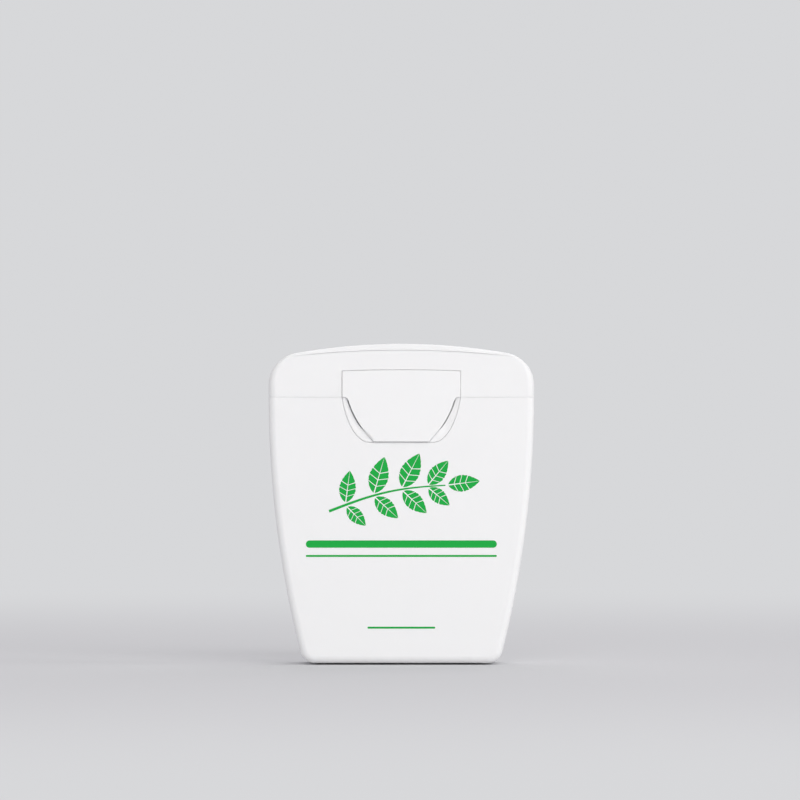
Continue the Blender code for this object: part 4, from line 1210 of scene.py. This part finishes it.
def leadRoute():
    # A tangent off the winding, through the outlet, over the clip under the tooth, and down to the deck.
    seatTop, seatEnd, out = deck["seatTop"], deck["seatWidth"] / 2, deck["outletX"]
    gap, radius, sway = floss["gap"], floss["radius"], floss["sway"]
    centre = np.array([0, 0, inside["spoolZ"]])
    inlet = np.array([out, 0, deckTop])
    reach = spool["winding"] + spool["gap"] + radius
    toward = inlet - centre
    angle = math.atan2(toward[2], toward[0]) + math.acos(reach / np.linalg.norm(toward))
    start, touch = [centre + reach * np.array([math.cos(turn), 0, math.sin(turn)])
                    for turn in (angle + floss["wrap"], angle)]
    rimTop = seatTop + deck["rimHeight"] + radius + gap
    clipTop = seatTop + clip["gap"] + clip["thickness"] + radius + gap
    points = [start, touch, touch + (inlet - touch) / 3, touch + (inlet - touch) * 2 / 3, inlet]
    points += [(out, 0, seatTop - case["wall"]), (out, 0, seatTop)]
    points += [(out + deck["outletRadius"] / 2, 0, rimTop), (out + deck["rimRadius"], 0, rimTop + gap)]
    points += [(clip["across"] + side * clip["width"] / 2, 0, clipTop) for side in (-1, 0, 1)]
    points += [(seatEnd - radius, 0, clipTop), (seatEnd + floss["standOff"], -sway / 5, seatTop)]
    drop = seatTop - deckTop - radius - gap
    points += [(seatEnd + floss["reach"] * across, -sway * aside, seatTop - drop * fall)
               for across, aside, fall in floss["tail"]]
    return np.array(points, float)


def smoothRoute(points, steps):
    # Catmull-Rom: between two points the curve is the cubic that leaves each along the line between its
    # neighbours.
    ends = np.vstack([points[0] * 2 - points[1], points, points[-1] * 2 - points[-2]])
    before, start, end, after = [part[:, None, :] for part in (ends[:-3], ends[1:-2], ends[2:-1], ends[3:])]
    t = (np.arange(steps) / steps)[None, :, None]
    slope, bend = end - before, 2 * before - 5 * start + 4 * end - after
    turn = 3 * start - before - 3 * end + after
    curve = (2 * start + slope * t + bend * t ** 2 + turn * t ** 3) / 2
    return np.vstack([curve.reshape(-1, 3), points[-1]])


def makeLead():
    # A tube whose cross-section is a circle with one shallow lobe for each ply; the lobes turn along the
    # strand, and both ends are drawn in along a quarter circle.
    path = smoothRoute(leadRoute(), 22)
    far = np.r_[0, np.cumsum(np.linalg.norm(np.diff(path, axis=0), axis=1))]
    even = np.linspace(0, far[-1], 420)
    path = np.stack([np.interp(even, far, path[:, axis]) for axis in range(3)], 1)
    along = unit(np.gradient(path, axis=0))
    flat = unit(np.cross(along, (0, 1, 0)))
    deep = np.cross(along, flat)
    turn = np.linspace(0, 2 * math.pi, 30, endpoint=False)[None, :]
    lobe = np.abs(np.cos((turn + even[:, None] * floss["twist"]) * floss["plies"] / 2))
    end = np.clip(np.minimum(even, even[-1] - even) / floss["radius"], 0, 1)[:, None]
    blunt = np.sqrt(1 - (1 - end) ** 2 * 0.96)  # the ends stay flat in their middle
    radius = (floss["radius"] - floss["slack"]) * (1 - floss["relief"] * (1 - lobe)) * blunt
    sideways = (radius * np.cos(turn))[..., None] * flat[:, None, :]
    points = path[:, None, :] + sideways + (radius * np.sin(turn))[..., None] * deep[:, None, :]
    dressPiece(loftPiece("flossLead", points), "case", ["floss_lead"], waxedFloss, sharp=60)


makeSpoolCore()
makeWinding()
makeLead()


# Printed decoration on the front: a plain leafy sprig over rules

decor = {
    "film": 0.000012,
    "sink": 0.000004,
    "fullness": 0.25,
    "skew": 0.8,
    "vein": 0.00022,
    "veinTaper": 0.85,
    "sideVein": 0.022,
    "cuts": (0.0, 0.2, 0.38, 0.56, 1.0),
    "slant": 0.1,
    "teeth": 9,
    "toothDepth": 0.00009,
    "stalk": 0.0005,
    "stem": 0.00036,
    "stemTaper": (1.3, 0.7),
    "stemStart": (-0.0128, 0.0272),
    "stemEnd": (0.0078, 0.0318),
    "stemBow": 0.0011,
    # Each leaf by its share of the stem, its turn in degrees and its length.
    "leaves": [(0.14, 62, 0.0056), (0.14, -66, 0.0046), (0.38, 58, 0.0066), (0.38, -58, 0.0054),
               (0.62, 54, 0.0066), (0.62, -52, 0.0056), (0.84, 46, 0.0054), (0.84, -44, 0.0047),
               (1.0, 4, 0.0056)],
    # Each rule by its height above the floor, its width and its thickness.
    "rules": [(0.0214, 0.0338, 0.0013), (0.0193, 0.0338, 0.00035), (0.0066, 0.0120, 0.00035)],
}


def veinAt(t):
    # Half the middle vein's width, which tapers toward the leaf's point.
    return decor["vein"] / 2 * (1 - t * decor["veinTaper"])


def rimAt(t, length, side):
    # The leaf's rim: the width is a skewed sine of the way along, with shallow rounded teeth.
    swell = np.sin(math.pi * t ** decor["skew"]) ** decor["skew"]
    teeth = decor["toothDepth"] * np.abs(np.sin(math.pi * decor["teeth"] * t)) * np.sin(math.pi * t)
    width = np.maximum(length * decor["fullness"] * swell + teeth, veinAt(t) + 1e-6)
    return np.stack([length * t, side * width], 1)


def leafParts(length, side):
    # One side of a leaf along its middle line, in four parts with slanted bare veins between them.
    cuts, slant, gap = decor["cuts"], decor["slant"], decor["sideVein"]
    parts = []
    for start, end in zip(cuts[:-1], cuts[1:]):
        first = 0 if start == 0 else start + slant
        last = 1 if end == 1 else end + slant - gap
        outer = rimAt(np.linspace(first, last, 26), length, side)
        t = np.linspace(start, 1 if end == 1 else end - gap, 12)
        inner = np.stack([length * t, side * veinAt(t)], 1)
        parts.append(np.vstack([outer, inner[::-1]]))
    return parts


def placeLoop(loop, spot, angle):
    # Turns a flat loop by the angle and moves it to the spot.
    across = loop[:, 0] * math.cos(angle) - loop[:, 1] * math.sin(angle)
    up = loop[:, 0] * math.sin(angle) + loop[:, 1] * math.cos(angle)
    return np.stack([across, up], 1) + spot


def stemAt(t):
    # A straight line from start to end, lifted by a bow that follows a sine of the way along.
    start, end = np.array(decor["stemStart"]), np.array(decor["stemEnd"])
    t = np.asarray(t, float)[..., None]
    return start + (end - start) * t + decor["stemBow"] * np.sin(math.pi * t) * (0, 1)


def makePrint():
    # Every leaf part, the stem and the rules as thin slabs that stand a film's thickness proud of the face.
    loops = []
    for t, degrees, length in decor["leaves"]:
        spot = stemAt(t)
        along = math.atan2(*(stemAt(t + 0.01) - spot)[::-1])
        for side in (-1, 1):
            loops += [placeLoop(part + (decor["stalk"], 0), spot, along + math.radians(degrees))
                      for part in leafParts(length, side)]
    t = np.linspace(0, 1, 60)
    line, (root, taper) = stemAt(t), decor["stemTaper"]
    wide = sidewaysOf(line) * (decor["stem"] / 2 * (root - taper * t))[:, None]
    loops.append(np.vstack([line + wide, (line - wide)[::-1]]))
    for height, width, thick in decor["rules"]:
        loops.append(planLoop(width / 2, thick / 2, thick * 0.499, 8) + (0, height))
    shape = bmesh.new()
    for loop in loops:
        film = slabPiece("film", loop, caseFront - decor["film"], caseFront + decor["sink"])
        shape.from_mesh(film.data)
        bpy.data.objects.remove(film)
    mesh = bpy.data.meshes.new("frontPrint")
    shape.to_mesh(mesh)
    shape.free()
    dressPiece(addObject("frontPrint", mesh), "case", [], printInk)


makePrint()


# Floor, light and camera

stage = {
    "backdrop": (0.68, 0.685, 0.70),
    "floor": (0.72, 0.722, 0.736),
    "floorRough": 0.9,
    "fade": (0.12, 0.6),
    "size": 6.0,
    "worldLight": (0.985, 0.97, 1.0),
    "worldStrength": 0.53,
    "aimHeight": 0.03,
}
# Each lamp by its turn from the front toward the right, its height angle, distance, size and the share of
# full tone that it gives a white surface facing it.
lamps = {
    "keyLamp": {"turn": 15, "height": 23, "distance": 1.3, "size": 1.2, "share": 0.385,
                "tint": (1.0, 1.0, 0.985)},
    "sideLamp": {"turn": 78, "height": 12, "distance": 1.2, "size": 0.6, "share": 0.13,
                 "tint": (1.0, 0.995, 0.985)},
    "backLamp": {"turn": 168, "height": 26, "distance": 1.3, "size": 1.15, "share": 0.14,
                 "tint": (1.0, 1.0, 1.0)},
    "topLamp": {"turn": 180, "height": 64, "distance": 1.2, "size": 0.8, "share": 0.09,
                "tint": (1.0, 1.0, 1.0)},
}
camera = {
    "distance": 1.5,
    "span": 0.1416,  # what the picture takes in across, at the case's face
    "across": -0.00024,
    "height": 0.0469,
    "sensor": 36.0,
    "clip": (0.1, 20.0),
}


def seenDirectly(tree):
    # 1 for what the camera, a mirror or glass sees directly, 0 for light that spreads.
    path = addNode(tree, "ShaderNodeLightPath", {}).outputs
    return mostOf(tree, [path["Is Camera Ray"], path["Is Glossy Ray"], path["Is Transmission Ray"]])


def showMix(tree, factor, first, second, end):
    # Shows the second shader where the factor is 1, and the first where it is 0.
    mix = addNode(tree, "ShaderNodeMixShader", {"Fac": factor, 1: first, 2: second})
    tree.links.new(mix.outputs["Shader"], tree.nodes[end].inputs["Surface"])


def makeFloor():
    # A flat plate in the table's plane; near the object it takes light and shadow, further out it fades
    # into the backdrop's own colour, so that no horizon shows.
    half = stage["size"] / 2
    corners = [(-half, -half, 0), (half, -half, 0), (half, half, 0), (-half, half, 0)]
    mesh = bpy.data.meshes.new("floor")
    mesh.from_pydata(corners, [], [(0, 1, 2, 3)])
    floor = addObject("floor", mesh)
    material, tree, place = startMaterial("paleTable")
    shader = tree.nodes["Principled BSDF"]
    look = {"Base Color": stage["floor"], "Roughness": stage["floorRough"], "Specular IOR Level": 0.0}
    setInputs(tree, shader, look)
    length = addNode(tree, "ShaderNodeVectorMath", {0: place}, operation="LENGTH").outputs["Value"]
    fade = rangeNode(tree, length, stage["fade"], interpolation_type="SMOOTHSTEP")
    far = addNode(tree, "ShaderNodeEmission", {"Color": stage["backdrop"]}).outputs["Emission"]
    amount = mathNode(tree, "MULTIPLY", fade, seenDirectly(tree))
    showMix(tree, amount, shader.outputs["BSDF"], far, "Material Output")
    mesh.materials.append(material)


def makeWorld():
    # Even light from all around, with the backdrop's colour in its place where it is seen directly.
    world = bpy.data.worlds.new("studio")
    bpy.context.scene.world = world
    world.use_nodes = True
    tree = world.node_tree
    light = tree.nodes["Background"]
    setInputs(tree, light, {"Color": stage["worldLight"], "Strength": stage["worldStrength"]})
    seen = addNode(tree, "ShaderNodeBackground", {"Color": stage["backdrop"]}).outputs["Background"]
    showMix(tree, seenDirectly(tree), light.outputs["Background"], seen, "World Output")


def addLamp(name, plan):
    # A round lamp that looks at the case. Its power is its share times pi squared, times the sum of the
    # squares of its distance and its radius.
    turn, height = math.radians(plan["turn"]), math.radians(plan["height"])
    flat = math.cos(height)
    toward = Vector((math.sin(turn) * flat, -math.cos(turn) * flat, math.sin(height)))
    data = bpy.data.lights.new(name, "AREA")
    data.shape, data.size, data.color = "DISK", plan["size"], plan["tint"]
    data.energy = plan["share"] * math.pi ** 2 * (plan["distance"] ** 2 + plan["size"] ** 2 / 4)
    lamp = addObject(name, data)
    lamp.location = toward * plan["distance"] + Vector((0, 0, stage["aimHeight"]))
    lamp.rotation_euler = toward.to_track_quat("Z", "Y").to_euler()


def makeCamera():
    # Square on to the face from far away; the lens is the sensor times the distance over the span.
    data = bpy.data.cameras.new("camera")
    data.sensor_width = camera["sensor"]
    data.lens = camera["sensor"] * camera["distance"] / camera["span"]
    data.clip_start, data.clip_end = camera["clip"]
    eye = addObject("camera", data)
    eye.location = (camera["across"], caseFront + case["shift"] - camera["distance"], camera["height"])
    eye.rotation_euler = (math.pi / 2, 0, 0)
    bpy.context.scene.camera = eye


makeFloor()
makeWorld()
for name, plan in lamps.items():
    addLamp(name, plan)
makeCamera()
bpy.context.scene.view_settings.view_transform = "Standard"
print("stage ready")
